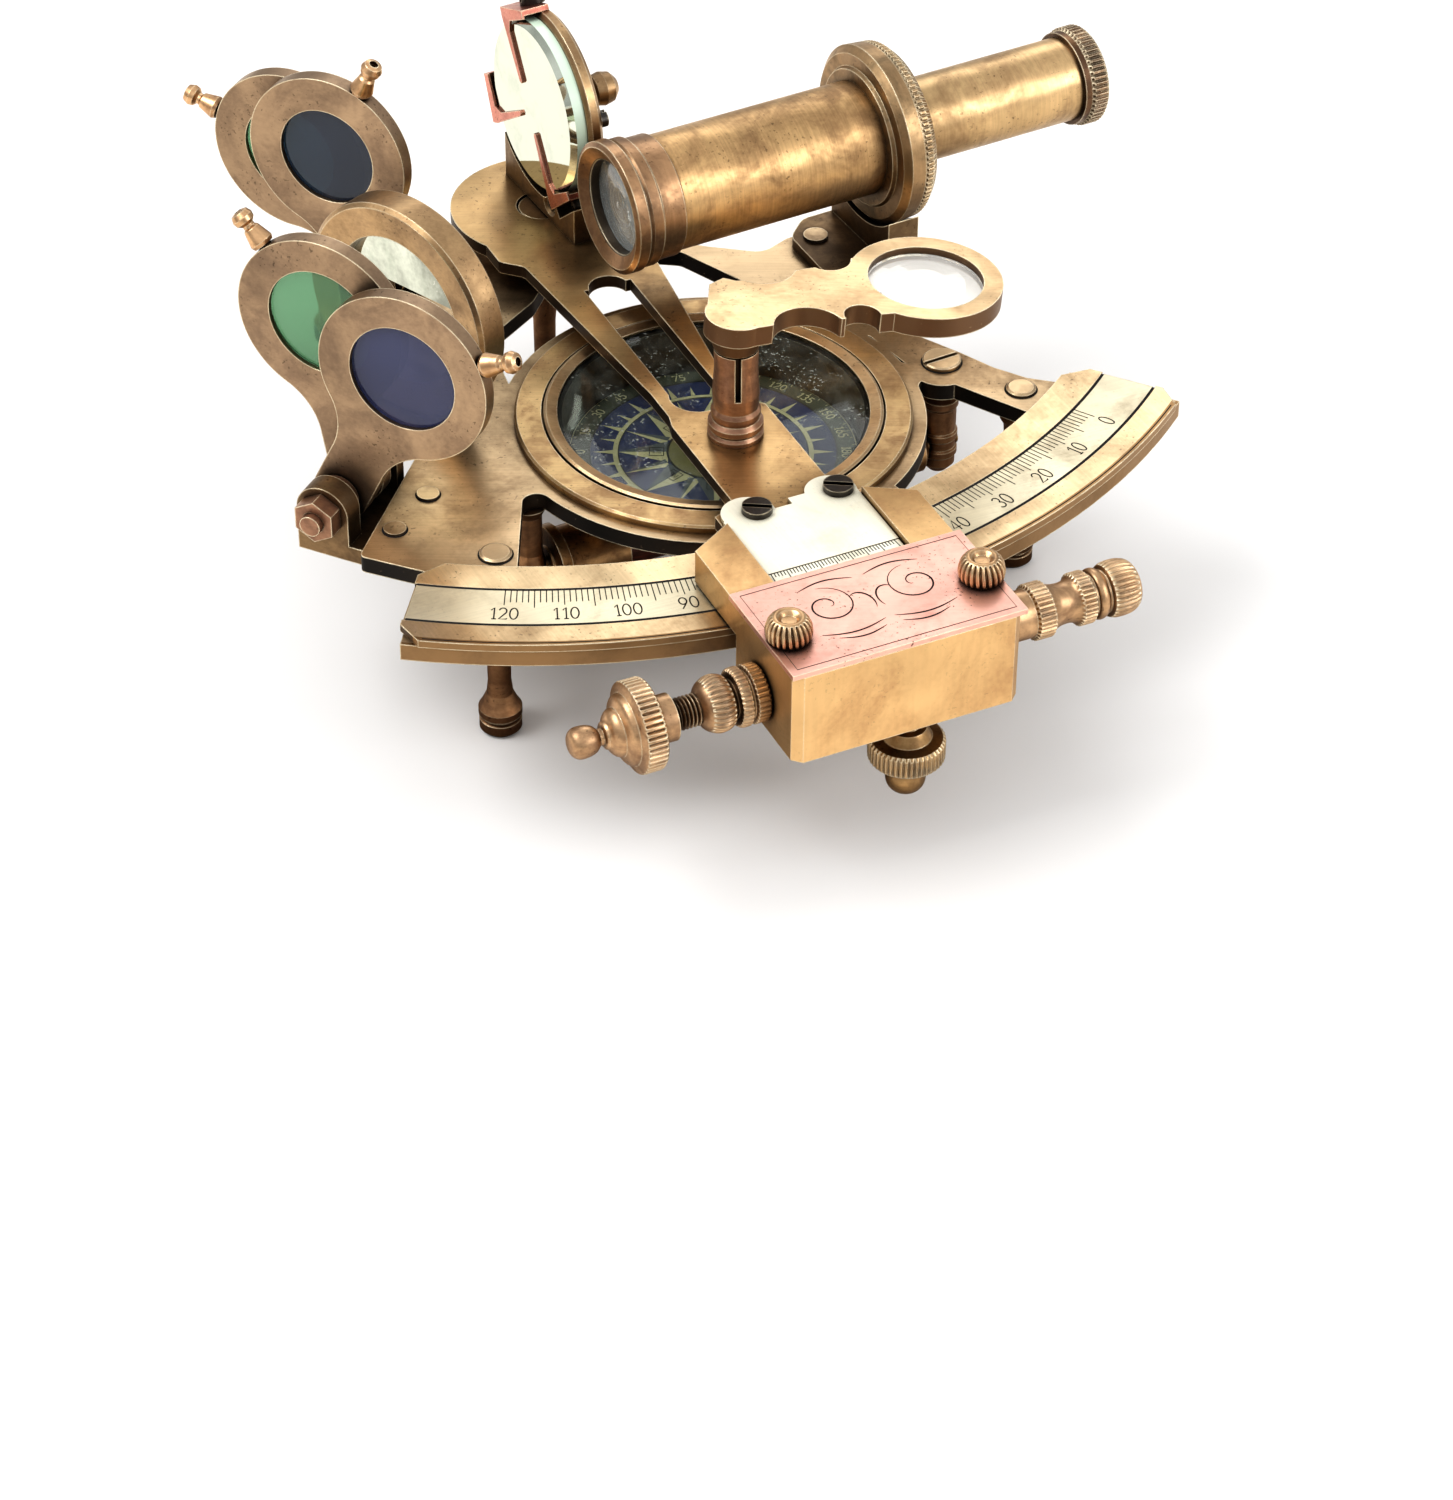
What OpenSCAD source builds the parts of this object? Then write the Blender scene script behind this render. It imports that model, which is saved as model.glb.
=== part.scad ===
// A pocket marine sextant in aged brass, built into a frame that also carries a compass.
// Millimetres, +Z up. The pivot of the index arm is the Z axis, the feet stand on z = 0
// and the graduated arc lies towards -Y.

/* [Frame] */
// Height of the top of the arc above the feet
arc_top = 40; // [38:0.5:44]
// Outer radius of the arc about the pivot
arc_r = 130.7; // [128:0.1:134]
// Width of the arc from its inner to its outer edge
arc_wide = 22.3; // [22:0.1:22.6]
// Half of the angle that the arc spans
arc_half = 37.3; // [36.8:0.1:38]
// Thickness of the arc layer that lies on the frame plate
arc_t = 1.5; // [1.2:0.1:1.8]
// Thickness of the frame plate
plate_t = 3.3; // [2.8:0.1:3.8]
// Reach of the plate's ring outwards from the compass bowl
ring_wide = 8.6; // [8:0.1:9]
// Distance of the compass centre from the arc's inner edge
compass_in = 39.6; // [39.4:0.1:39.9]
// Distance of the silvered scale band from the arc's inner edge
scale_in = 6.9; // [6.6:0.1:7.5]
// Distance of the silvered scale band from the arc's outer edge
scale_out = 5.8; // [5.5:0.1:6.6]
// Width of the dark groove on each side of the scale band
groove_w = 0.4; // [0.3:0.05:0.6]

/* [Legs and handle] */
// Sideways distance of each front leg from the middle
leg_x = 53.7; // [53:0.1:54.2]
// Distance of the front legs from the pivot line
leg_y = 88; // [87.5:0.1:88.5]
// Radius of the foot ring of a leg
foot_r = 3.95; // [3.6:0.05:4.3]
// Height of the handle's axis above the feet
grip_z = 21; // [20:0.5:22]
// Radius of the wooden grip
grip_r = 5; // [4.4:0.1:5.4]

/* [Compass] */
// Outer radius of the bowl where it hangs in the ring
bowl_r = 30.2; // [29.2:0.1:30.6]
// Depth of the bowl below the top of the arc
bowl_depth = 12.5; // [12:0.1:13]
// Width of the bowl's flange
flange_wide = 6; // [5.4:0.1:6.6]
// Distance of the edge of the glass that shows from the bowl's outside
glass_in = 1.8; // [1.4:0.1:2.2]
// Gap between the turning card and the edge of the glass that shows
card_gap = 2; // [1.8:0.1:2.8]

/* [Index arm] */
// Reading of the arm on the scale at rest
reading = 66.5; // [60:0.5:72]
// Height of the underside of the arm above the top of the arc
arm_gap = 2.5; // [2.3:0.1:2.8]
// Thickness of the arm
arm_t = 2.5; // [2.2:0.1:2.8]
// Radius of the arm's round head
arm_head_r = 17.5; // [17:0.1:18]
// Half width of the arm at its waist
arm_waist = 7.5; // [7.2:0.1:8]
// Radius of the pivot pin
pivot_r = 3; // [2.6:0.1:3.4]
// Half width of the vernier plate
vernier_half = 12.8; // [12.4:0.1:12.9]

/* [Clamp and fine screw] */
// Half width of the clamp block
block_half = 21.5; // [21.2:0.1:22]
// Gap between the arc's outer edge and the block
block_gap = 0.8; // [0.6:0.1:1.3]
// Depth of the block from its inner to its outer face
block_deep = 23.1; // [22.5:0.1:24]
// Depth of the block below the top of the arc
block_drop = 11.2; // [10.9:0.1:11.8]
// Radius of the fine screw's shaft
fine_r = 2.4; // [2.2:0.05:2.5]
// Radius of the clamp screw's knurled head
clamp_head_r = 6.8; // [6.2:0.1:7.4]

/* [Mirrors] */
// Radius of the index mirror
index_glass_r = 17.1; // [16.8:0.1:17.3]
// Height of the index mirror's centre above the top of the arc
index_up = 27; // [26.8:0.1:27.5]
// Outer radius of the horizon mirror's ring
horizon_r = 20.8; // [20.5:0.1:21]
// Turn of the horizon mirror's face about the vertical
horizon_turn = 22; // [21:0.5:23]

/* [Shades] */
// Distance from the front shades' bolt to the centre of their glasses
front_reach = 31.2; // [30.8:0.1:31.6]
// Distance from the back shades' bolt to the centre of their glasses
back_reach = 28.1; // [27.8:0.1:28.5]
// Radius of a front shade's head
front_head_r = 16.3; // [15.9:0.1:16.7]
// Radius of a back shade's head
back_head_r = 16; // [15.6:0.1:16.4]
// Radius of a front shade's glass
front_glass_r = 10.2; // [9.8:0.1:10.6]
// Radius of a back shade's glass
back_glass_r = 9.5; // [9.1:0.1:9.9]
// Thickness of a shade's brass plate
shade_t = 3; // [2.7:0.1:3.2]
// Radius of the bolt that the shades swing on
bolt_r = 2; // [1.8:0.05:2.2]

/* [Telescope] */
// Distance of the telescope's axis from the pivot line
scope_y = 31.6; // [31.4:0.1:31.9]
// Height of the telescope's axis above the top of the arc
scope_up = 22.5; // [22.3:0.1:22.8]
// Outer radius of the main tube
tube_r = 11; // [10.8:0.05:11.2]
// Outer radius of the objective's cell
objective_r = 12.6; // [12.2:0.1:12.6]
// Outer radius of the draw tube
draw_r = 8.1; // [8:0.02:8.2]
// Distance of the collar from the pivot line
collar_x = 55; // [54.5:0.1:55.5]
// Outer radius of the collar
collar_r = 17.4; // [17:0.1:17.8]

/* [Magnifier] */
// Distance of the magnifier's post from the pivot
post_u = 83.5; // [83.2:0.1:84.2]
// Length of the magnifier's bracket from the post to the centre of the lens
lens_reach = 37.5; // [37.2:0.1:37.7]
// Outer radius of the lens ring
lens_ring_r = 13.9; // [13.6:0.1:14]
// Radius of the lens
lens_r = 10.4; // [10:0.1:10.8]

/* [Hidden] */

$fn = 64;
brass = [0.72, 0.58, 0.34];
dark_brass = [0.5, 0.4, 0.25];
copper = [0.82, 0.52, 0.42];
silvered = [0.87, 0.85, 0.75];
steel = [0.36, 0.36, 0.35];
clear_glass = [0.8, 0.86, 0.84];
green_glass = [0.2, 0.45, 0.3];
blue_glass = [0.2, 0.22, 0.36];
mirror_glass = [0.9, 0.93, 0.9];
wood = [0.3, 0.12, 0.08];
clip_red = [0.78, 0.35, 0.28];

// small gaps between separate pieces
run_gap = 0.05;
clear_gap = 0.4;

arc_mid = -90.6;
plate_top = arc_top - arc_t;
plate_low = plate_top - plate_t;
arm_low = arc_top + arm_gap;
arm_top = arm_low + arm_t;
arm_turn = -60 - reading / 2;
compass_y = arc_r - arc_wide - compass_in;
compass = [0, -compass_y];
shade_turn = 216.5;
scope_z = arc_top + scope_up;
index_z = arc_top + index_up;
arc_in_r = arc_r - arc_wide;
plate_in_r = arc_in_r + 1.1;
scale_in_r = arc_in_r + scale_in;
scale_out_r = arc_r - scale_out;
ring_r = bowl_r + ring_wide;
flange_r = bowl_r + flange_wide;
glass_r = bowl_r - glass_in;
card_r = glass_r - card_gap;
block_in = arc_r + block_gap;
block_out = block_in + block_deep;
fine_u = block_in + 10;
fine_z = arc_top - 4.4;
clamp_u = block_in + 15.5;
clamp_v = 3.9;
block_low = arc_top - block_drop;
block_top = arc_top + 7;
wing_low = arc_top + 0.4;
window_mid = -90.45;
window_turn = 28.75;
leg_pin_r = 1.9;
column_pin_r = 2;
rivet_pin_r = 1.4;
column_at = [45.4, -73.5];
stud_at = [-40, -73.5];
rivet_at = [[-56.4, -66.5], [-66.1, -73.2], [44.2, -28.2]];
front_up = 1;
front_h = 7.3;
front_blue_x = 94;
front_green_x = 88;
back_up = 4.4;
back_h = -17.2;
back_blue_x = 40;
back_green_x = 34;
bracket_t = 3.2;
cheek_half = 5.1;
wing_in = 13;
cavity_half = 16;
mirror_skew = 3.25;
mirror_v = -1.7;
mirror_t = 3;
ring_t = 3;

function unit(v) = v / norm(v);
function polar(r, a) = [r * cos(a), r * sin(a)];
function sharp(r, a) = [r * cos(a), r * sin(a), 0];
function point_at(p, i) = let(n = len(p), q = p[(i + n) % n]) [q[0], q[1]];
function to_prev(p, i) = unit(point_at(p, i - 1) - point_at(p, i));
function to_next(p, i) = unit(point_at(p, i + 1) - point_at(p, i));
function half_corner(p, i) = acos(to_prev(p, i) * to_next(p, i)) / 2;
function tangent_points(p, i) =
    let(c = point_at(p, i), t = p[i][2] / tan(half_corner(p, i)))
    p[i][2] > 0 ? [c + to_prev(p, i) * t, c + to_next(p, i) * t] : [c];
function arc_centre(p, i) =
    point_at(p, i)
    + unit(to_prev(p, i) + to_next(p, i)) * p[i][2] / sin(half_corner(p, i));
function turns_left(p, i) = cross(-to_prev(p, i), to_next(p, i)) > 0;

// An outline given anticlockwise as [x, y, corner radius], with true arcs at its corners
module outline(p) {
    difference() {
        union() {
            polygon([for (i = [0:len(p) - 1]) each tangent_points(p, i)]);
            for (i = [0:len(p) - 1])
                if (p[i][2] > 0 && turns_left(p, i)) translate(arc_centre(p, i)) circle(p[i][2]);
        }
        for (i = [0:len(p) - 1])
            if (p[i][2] > 0 && !turns_left(p, i)) translate(arc_centre(p, i)) circle(p[i][2]);
    }
}

// A part of a flat ring between two radii and two angles
module ring_part(r0, r1, a0, a1) {
    far = r1 * 1.6;
    intersection() {
        difference() {
            circle(r1, $fn = 180);
            circle(r0, $fn = 180);
        }
        polygon([[0, 0], polar(far, a0), polar(far, (a0 + a1) / 2), polar(far, a1)]);
    }
}

// A flat plate between two heights
module slab(z0, z1) {
    translate([0, 0, z0]) linear_extrude(z1 - z0) children();
}

// A straight round bar between two heights
module bar(r, z0, z1) {
    translate([0, 0, z0]) cylinder(r = r, h = z1 - z0);
}

// A solid turned about the Z axis from [radius, height] points
module turned(points) {
    rotate_extrude() polygon(points);
}

// A turned solid laid along a level direction, its heights counted from a point
module turned_along(at, turn, points) {
    translate(at) rotate([0, 90, turn]) turned(points);
}

// A straight slot across a screw head
module slot_cut(r, z, w, deep) {
    translate([-r - 1, -w / 2, z - deep]) cube([2 * r + 2, w, deep + 1]);
}

// The soft inner corner of the window beside the compass
module window_corner(side) {
    r = 2.5;
    a = window_mid + side * window_turn;
    d = polar(1, a);
    n = polar(1, a - side * 90);
    q = compass - r * n;
    s = d * q + sqrt((d * q) * (d * q) - q * q + (ring_r + r) * (ring_r + r));
    centre = s * d + r * n;
    to_centre = unit(centre - compass);
    fill = [(s + 0.1) * d, compass + ring_r * to_centre, compass + (ring_r - 1) * to_centre,
        (s - 9) * d - n, (s + 0.1) * d - n];
    difference() {
        polygon(side < 0 ? fill : [for (i = [len(fill) - 1:-1:0]) fill[i]]);
        translate(centre) circle(r + 0.01);
    }
}

module plate_outline() {
    difference() {
        union() {
            ring_part(arc_in_r + 0.3, arc_r - 0.4, arc_mid - arc_half + 0.3,
                arc_mid + arc_half - 0.3);
            translate(compass) circle(ring_r, $fn = 128);
            circle(16.5);
            // short web that joins the ring to the middle of the arc
            polygon([polar(plate_in_r - 9.5, -100), polar(plate_in_r, -100),
                polar(plate_in_r, -80), polar(plate_in_r - 9.5, -80)]);
            // left arm and left corner plate
            outline([[-6, 2, 0], [-9, 10, 3], [-30, 6.5, 8], [-40, 0.5, 4], [-50.5, -5, 4],
                [-52.5, -20, 6], [-52, -53.7, 4], [-74.9, -77.2, 1.2], [-66.5, -87, 0],
                sharp(plate_in_r, -127), sharp(plate_in_r, window_mid - window_turn),
                sharp(plate_in_r - 25.5, window_mid - window_turn),
                [-30, -50, 0], [-27, -36, 3], [-30, -30, 6], [-12, -20, 6], [-4, -12, 0]]);
            // right arm and right corner plate
            outline([[4, -8, 0], [12, -12, 2], [20.4, -18, 2.5], [26.6, -34, 0],
                [30, -45, 0], [38, -60, 0], [39.5, -72.5, 0],
                sharp(plate_in_r, window_mid + window_turn),
                sharp(plate_in_r, -55.5), [56.6, -85.3, 3], [53, -79.6, 5], [50, -72.4, 6],
                [43, -58, 8], [43.5, -46, 6], [48, -38, 4], [49, -27, 3], [41.3, -23.2, 3],
                [34.2, -25.6, 4], [25.6, -18.6, 5], [12, -6, 0]]);
            window_corner(-1);
            window_corner(1);
        }
        translate(compass) circle(bowl_r + 0.2, $fn = 128);
        circle(pivot_r + run_gap);
        for (s = [-1, 1]) translate([s * leg_x, -leg_y]) circle(leg_pin_r + run_gap);
        translate(column_at) circle(column_pin_r + run_gap);
        for (p = rivet_at) translate(p) circle(rivet_pin_r + run_gap);
    }
}

module frame_plate() {
    color(brass) slab(plate_low, plate_top) plate_outline();
}

module arc_layer() {
    channel = 0.8;
    corner = 4;
    color(brass) difference() {
        slab(plate_top, arc_top)
            ring_part(arc_in_r, arc_r, arc_mid - arc_half, arc_mid + arc_half);
        slab(arc_top - channel, arc_top + 1)
            ring_part(scale_in_r - groove_w, scale_out_r + groove_w, arc_mid - arc_half - 2,
                arc_mid + arc_half + 2);
        for (s = [-1, 1], r = [arc_in_r, arc_r])
            rotate(arc_mid + s * arc_half) translate([r, 0, plate_top - 1])
                rotate(45) translate([-corner / sqrt(2), -corner / sqrt(2), 0])
                    cube([corner * sqrt(2), corner * sqrt(2), arc_t + 2]);
    }
}

module scale_strip() {
    color(silvered) slab(arc_top - 0.8, arc_top)
        ring_part(scale_in_r, scale_out_r, arc_mid - arc_half + 0.2, arc_mid + arc_half - 0.2);
}

// Two rivets that hold the front shade bracket and one that holds the telescope's foot
module frame_rivets() {
    head_r = 2.05;
    color(brass) {
        for (i = [0, 1]) translate(rivet_at[i]) {
            bar(rivet_pin_r, plate_low - bracket_t, plate_top);
            bar(head_r, plate_top, plate_top + 0.5);
        }
        translate(rivet_at[2]) {
            bar(rivet_pin_r, plate_low, plate_top + 2);
            bar(head_r + 0.3, plate_top + 2, plate_top + 2.6);
        }
    }
}

// A turned leg; its pin is closed over the plate as a rivet
module leg(pin_r, pin_top, head_r) {
    turned([[0, 0], [3.2, 0], [foot_r - 0.1, 0.7], [foot_r - 0.1, 2.6], [3.3, 2.9], [3.3, 3.3],
        [foot_r, 3.6], [foot_r, 5], [3.3, 6.1], [2.4, 8.2], [2.1, 11], [2.2, 19],
        [2.9, plate_low - 4], [3.7, plate_low - 2.6], [3.7, plate_low], [pin_r, plate_low],
        [pin_r, pin_top], [head_r, pin_top], [head_r, pin_top + 0.4],
        [head_r - 0.5, pin_top + 0.7], [0, pin_top + 0.7]]);
}

module leg_left() {
    color(copper) translate([-leg_x, -leg_y]) leg(leg_pin_r, plate_top, 2.9);
}

module leg_right() {
    color(copper) translate([leg_x, -leg_y]) leg(leg_pin_r, plate_top, 2.8);
}

module leg_rear() {
    color(copper) turned([[0, 0], [3.2, 0], [foot_r - 0.1, 0.7], [foot_r - 0.1, 2.6],
        [3.3, 2.9], [3.3, 3.3], [foot_r, 3.6], [foot_r, 5], [3.3, 6.1], [2.4, 8.2], [2.1, 11],
        [2.2, 19], [3.4, plate_low - 4], [6, plate_low - 2], [6, plate_low], [0, plate_low]]);
}

// A banded column, screwed through the plate, that holds the right end of the handle
module handle_column() {
    head_r = 3.6;
    band = 0.35;
    r = 3.15;
    color(dark_brass) translate(column_at) difference() {
        turned([[0, grip_z - 6.5], [1.8, grip_z - 6], [r, grip_z - 4.4],
            [r, grip_z - 2.6], [r + band, grip_z - 2.2], [r + band, grip_z - 1],
            [r, grip_z - 0.6], [r, grip_z + 1], [r + band, grip_z + 1.4],
            [r + band, grip_z + 2.6], [r, grip_z + 3], [r, grip_z + 8],
            [r + band, grip_z + 8.6], [r + band, grip_z + 10], [2.5, grip_z + 10.8],
            [3.4, plate_low], [column_pin_r, plate_low], [column_pin_r, plate_top],
            [head_r, plate_top], [head_r, plate_top + 0.7], [head_r - 0.3, plate_top + 0.9],
            [0, plate_top + 0.9]]);
        slot_cut(head_r, plate_top + 0.9, 0.9, 0.6);
        translate([0, 0, grip_z]) rotate([0, 90, 0])
            cylinder(r = axle_r + run_gap, h = 12, center = true);
    }
}

// A stud under the left corner of the plate that holds the left end of the handle
module handle_stud() {
    color(dark_brass) translate(stud_at) difference() {
        turned([[0, grip_z - 4.5], [2, grip_z - 3.8], [2.8, grip_z - 2], [2.8, grip_z + 2],
            [2.3, grip_z + 4], [2.3, plate_low - 2], [3.2, plate_low], [0, plate_low]]);
        translate([0, 0, grip_z]) rotate([0, 90, 0])
            cylinder(r = axle_r + run_gap, h = 12, center = true);
    }
}

grip_from = stud_at[0] + 17.6;
grip_to = column_at[0] - 10;
axle_r = 1.5;

// The handle's axle with its knurled collar, its long ferrule and its plain end cap
module handle_ends() {
    disc_r = 7;
    ferrule_r = 6;
    start = stud_at[0] + 3.6;
    stop = column_at[0] - 3.8;
    color(brass) turned_along([0, stud_at[1], grip_z], 0, [[0, stud_at[0] - 3.4],
        [axle_r, stud_at[0] - 3.4], [axle_r, start - 0.4], [3.2, start - 0.4], [3.4, start],
        [disc_r, start], [disc_r, start + 2], [ferrule_r, start + 2.2],
        [ferrule_r, grip_from], [axle_r, grip_from], [axle_r, grip_to], [4.7, grip_to],
        [4.7, stop - 1.4], [3, stop], [axle_r, stop], [axle_r, column_at[0] + 3.4],
        [0, column_at[0] + 3.4]]);
}

// The wooden grip on the axle
module handle_grip() {
    mid = (grip_from + grip_to) / 2;
    color(wood) turned_along([0, stud_at[1], grip_z], 0, [[axle_r + run_gap, grip_from],
        [grip_r - 0.4, grip_from], [grip_r, grip_from + 5], [grip_r + 0.6, mid],
        [grip_r - 0.2, grip_to - 9], [4.2, grip_to], [axle_r + run_gap, grip_to]]);
}

card_low = arc_top - bowl_depth + 2.1;
glass_seat = arc_top - 1.1;

module compass_bowl() {
    low = arc_top - bowl_depth;
    floor_z = low + 1.3;
    lip_r = bowl_r + 1.1;
    wall_in_r = bowl_r - 2.6;
    color(brass) translate(compass) turned([[0, low], [bowl_r - 1.5, low], [bowl_r, low + 1.5],
        [bowl_r, plate_top], [flange_r, plate_top], [flange_r, arc_top - 0.4],
        [flange_r - 0.4, arc_top], [lip_r, arc_top], [lip_r, glass_seat],
        [wall_in_r, glass_seat], [wall_in_r, floor_z], [1.6, floor_z], [0.8, floor_z + 0.5],
        [0.3, card_low + 1.5], [0, card_low + 1.6]]);
}

module compass_bezel() {
    out_r = bowl_r + 0.7;
    seat_r = glass_r + 1;
    color(brass) translate(compass) turned([[seat_r, glass_seat], [out_r, glass_seat],
        [out_r, arc_top + 0.2], [out_r - 0.5, arc_top + 0.5], [glass_r, arc_top + 0.1],
        [glass_r, glass_seat + 0.7], [seat_r, glass_seat + 0.7]]);
}

module compass_glass() {
    color(clear_glass) translate(compass) bar(glass_r + 0.9, glass_seat, glass_seat + 0.7);
}

// The card turns on a point under its own cap
module compass_card() {
    z = card_low;
    color(silvered) translate(compass) turned([[1.5, z], [card_r, z], [card_r, z + 0.5],
        [2.6, z + 0.5], [2.3, z + 2.6], [1.6, z + 3.1], [0, z + 3.1], [0, z + 2], [0.9, z + 2]]);
}

horizon_at = [-43, -37];
horizon_z = plate_top + horizon_r + 0.2;
horizon_deep = 6.5;

// Places a shape whose X axis is the horizon mirror's own axis, zero at its rear rim
module at_horizon() {
    translate([horizon_at[0], horizon_at[1], horizon_z]) rotate(horizon_turn) children();
}

module horizon_foot() {
    half = 9;
    tall = 6;
    flange = 5;
    low = -horizon_r - 0.2;
    color(brass) at_horizon() {
        difference() {
            translate([0.6 - horizon_deep, -half, low]) cube([horizon_deep - 0.6, 2 * half, tall]);
            rotate([0, 90, 0])
                cylinder(r = horizon_r + 0.02, h = 40, center = true, $fn = 128);
        }
        translate([0, -half, low]) cube([flange, 2 * half, 2]);
    }
}

module horizon_ring() {
    hole_r = 14.2;
    seat_r = 17;
    color(brass) at_horizon() rotate([0, 90, 0]) turned([[hole_r, -horizon_deep + 0.6],
        [horizon_r - 0.8, -horizon_deep], [horizon_r, -horizon_deep + 0.7],
        [horizon_r, -0.6], [horizon_r - 0.6, 0], [seat_r, 0], [seat_r, -3.2], [hole_r, -3.2]]);
}

module horizon_glass() {
    color(mirror_glass) at_horizon() rotate([0, 90, 0]) bar(16.95, -3.2, -0.8);
}

// Places a shape on a shade bolt; X runs out along the bolt, Y sideways, Z up
module on_bolt(h, up) {
    rotate(shade_turn) translate([0, h, arc_top + up]) children();
}

// A shape drawn in Y and Z and given a thickness along X
module along_x(x0, x1) {
    translate([x0, 0, 0]) rotate([90, 0, 90]) linear_extrude(x1 - x0) children();
}

// A cheek with a round top about the bolt
module cheek(x0, x1, low) {
    along_x(x0, x1) difference() {
        union() {
            circle(cheek_half);
            translate([-cheek_half, low]) square([2 * cheek_half, -low]);
        }
        circle(bolt_r + run_gap);
    }
}

base_top = plate_low - arc_top - front_up;
front_in = 80;
front_out = 100.7;

module front_bracket() {
    reach = 16.8;
    low = base_top - bracket_t;
    color(dark_brass) difference() {
        on_bolt(front_h, front_up) {
            cheek(front_out - 4.4, front_out, low);
            cheek(front_in, front_in + 2.4, low);
            slab(low, base_top) outline([[front_in, -cheek_half, 0],
                [front_out, -cheek_half, 0], [front_out, reach, 2], [front_in, reach, 2]]);
        }
        for (i = [0, 1]) translate(rivet_at[i])
            bar(rivet_pin_r + run_gap, plate_low - bracket_t - 1, plate_low + 1);
    }
}

back_in = 26;
back_out = 46.4;

module back_bracket() {
    low = plate_top - arc_top - back_up;
    color(dark_brass) on_bolt(back_h, back_up) {
        cheek(back_out - 4, back_out, low);
        cheek(back_in, back_in + 2.4, low);
    }
}

// A washer round a bolt
module washer(x0, x1) {
    difference() {
        rotate([0, 90, 0]) bar(3.9, x0, x1);
        rotate([0, 90, 0]) bar(bolt_r + run_gap, x0 - 1, x1 + 1);
    }
}

module bolt_set(inner, outer, plates) {
    side = 0.3;
    rotate([0, 90, 0]) {
        bar(bolt_r, inner - 1, outer + 4.6);
        bar(3.4, inner - 2.2, inner);
    }
    edges = [inner + 2.4, plates[0] - shade_t, plates[0], plates[1] - shade_t, plates[1],
        outer - plates[2]];
    for (i = [0:2]) washer(edges[2 * i] + side, edges[2 * i + 1] - side);
}

// The two bolts that the shades swing on, with their washers
module shade_bolts() {
    color(copper) {
        on_bolt(front_h, front_up) bolt_set(front_in, front_out, [front_green_x, front_blue_x, 4.4]);
        on_bolt(back_h, back_up) bolt_set(back_in, back_out, [back_green_x, back_blue_x, 4]);
    }
}

module hex_nut(x) {
    translate([x, 0, 0]) rotate([0, 90, 0]) difference() {
        cylinder(r = 4.2, h = 3.2, $fn = 6);
        translate([0, 0, -1]) cylinder(r = bolt_r + run_gap, h = 6);
    }
}

module shade_nuts() {
    color(copper) {
        on_bolt(front_h, front_up) hex_nut(front_out);
        on_bolt(back_h, back_up) hex_nut(back_out);
    }
}

// Outline of a shade: a round head on a waisted neck that swings about the bolt
module shade_outline(reach, head_r, hole_r) {
    boss_r = 5.3;
    sweep_r = 12;
    drop = sqrt((head_r + sweep_r) * (head_r + sweep_r) - (boss_r + sweep_r) * (boss_r + sweep_r));
    low = reach - drop;
    side = boss_r + sweep_r;
    share = head_r / (head_r + sweep_r);
    touch = [share * side, reach - share * drop];
    difference() {
        union() {
            circle(boss_r);
            translate([0, reach]) circle(head_r, $fn = 96);
            difference() {
                polygon([[-boss_r, 0], [boss_r, 0], [boss_r, low], touch, [0, reach],
                    [-touch[0], touch[1]], [-boss_r, low]]);
                for (s = [-1, 1]) translate([s * side, low]) circle(sweep_r + 0.03);
            }
        }
        circle(bolt_r + run_gap);
        translate([0, reach]) circle(hole_r);
    }
}

// Swings a shade of the front or the back set away from upright, towards +Y of its bolt
module front_leaned(lean) {
    on_bolt(front_h, front_up) rotate([-lean, 0, 0]) children();
}

module back_leaned(lean) {
    on_bolt(back_h, back_up) rotate([-lean, 0, 0]) children();
}

rebate = 0.9;
knob_foot_r = 1.2;
knob_sink = 0.4;

// Places a shape on the rim of a shade's head, X along the bolt
module on_rim(x, reach, head_r, turn) {
    translate([x - shade_t / 2, 0, reach]) rotate([-turn, 0, 0]) translate([0, 0, head_r])
        children();
}

module shade_plate(x, reach, head_r, glass_hole_r, turn) {
    difference() {
        along_x(x - shade_t, x) shade_outline(reach, head_r, glass_hole_r);
        translate([0, 0, reach]) rotate([0, 90, 0])
            bar(glass_hole_r + rebate, x - shade_t - 1, x - 0.9);
        on_rim(x, reach, head_r, turn) bar(knob_foot_r, -knob_sink, 1);
    }
}

module shade_glass(x, reach, glass_hole_r) {
    translate([0, 0, reach]) rotate([0, 90, 0])
        bar(glass_hole_r + rebate - run_gap, x - 2.7, x - 0.9);
}

// A turned knob on the rim of a shade
module shade_knob(x, reach, head_r, turn) {
    on_rim(x, reach, head_r, turn) turned([[0, -knob_sink], [knob_foot_r, -knob_sink],
        [knob_foot_r, 0.1], [1.9, 0.3], [2.2, 1], [1.5, 3.8], [1.1, 4.2], [1.1, 4.7],
        [1.8, 5.3], [2, 6.2], [1.6, 7.2], [0.8, 7.5], [0.8, 6.7], [0, 6.7]]);
}

front_blue_lean = 25.5;
front_green_lean = -10.5;
back_blue_lean = -12.7;
back_green_lean = -38.2;
front_blue_turn = 41.7;
front_green_turn = -32;
back_blue_turn = 37.9;
back_green_turn = -36.1;

module front_blue_plate() {
    color(dark_brass) front_leaned(front_blue_lean)
        shade_plate(front_blue_x, front_reach, front_head_r, front_glass_r, front_blue_turn);
}

module front_blue_glass() {
    color(blue_glass) front_leaned(front_blue_lean)
        shade_glass(front_blue_x, front_reach, front_glass_r);
}

module front_blue_knob() {
    color(brass) front_leaned(front_blue_lean)
        shade_knob(front_blue_x, front_reach, front_head_r, front_blue_turn);
}

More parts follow.
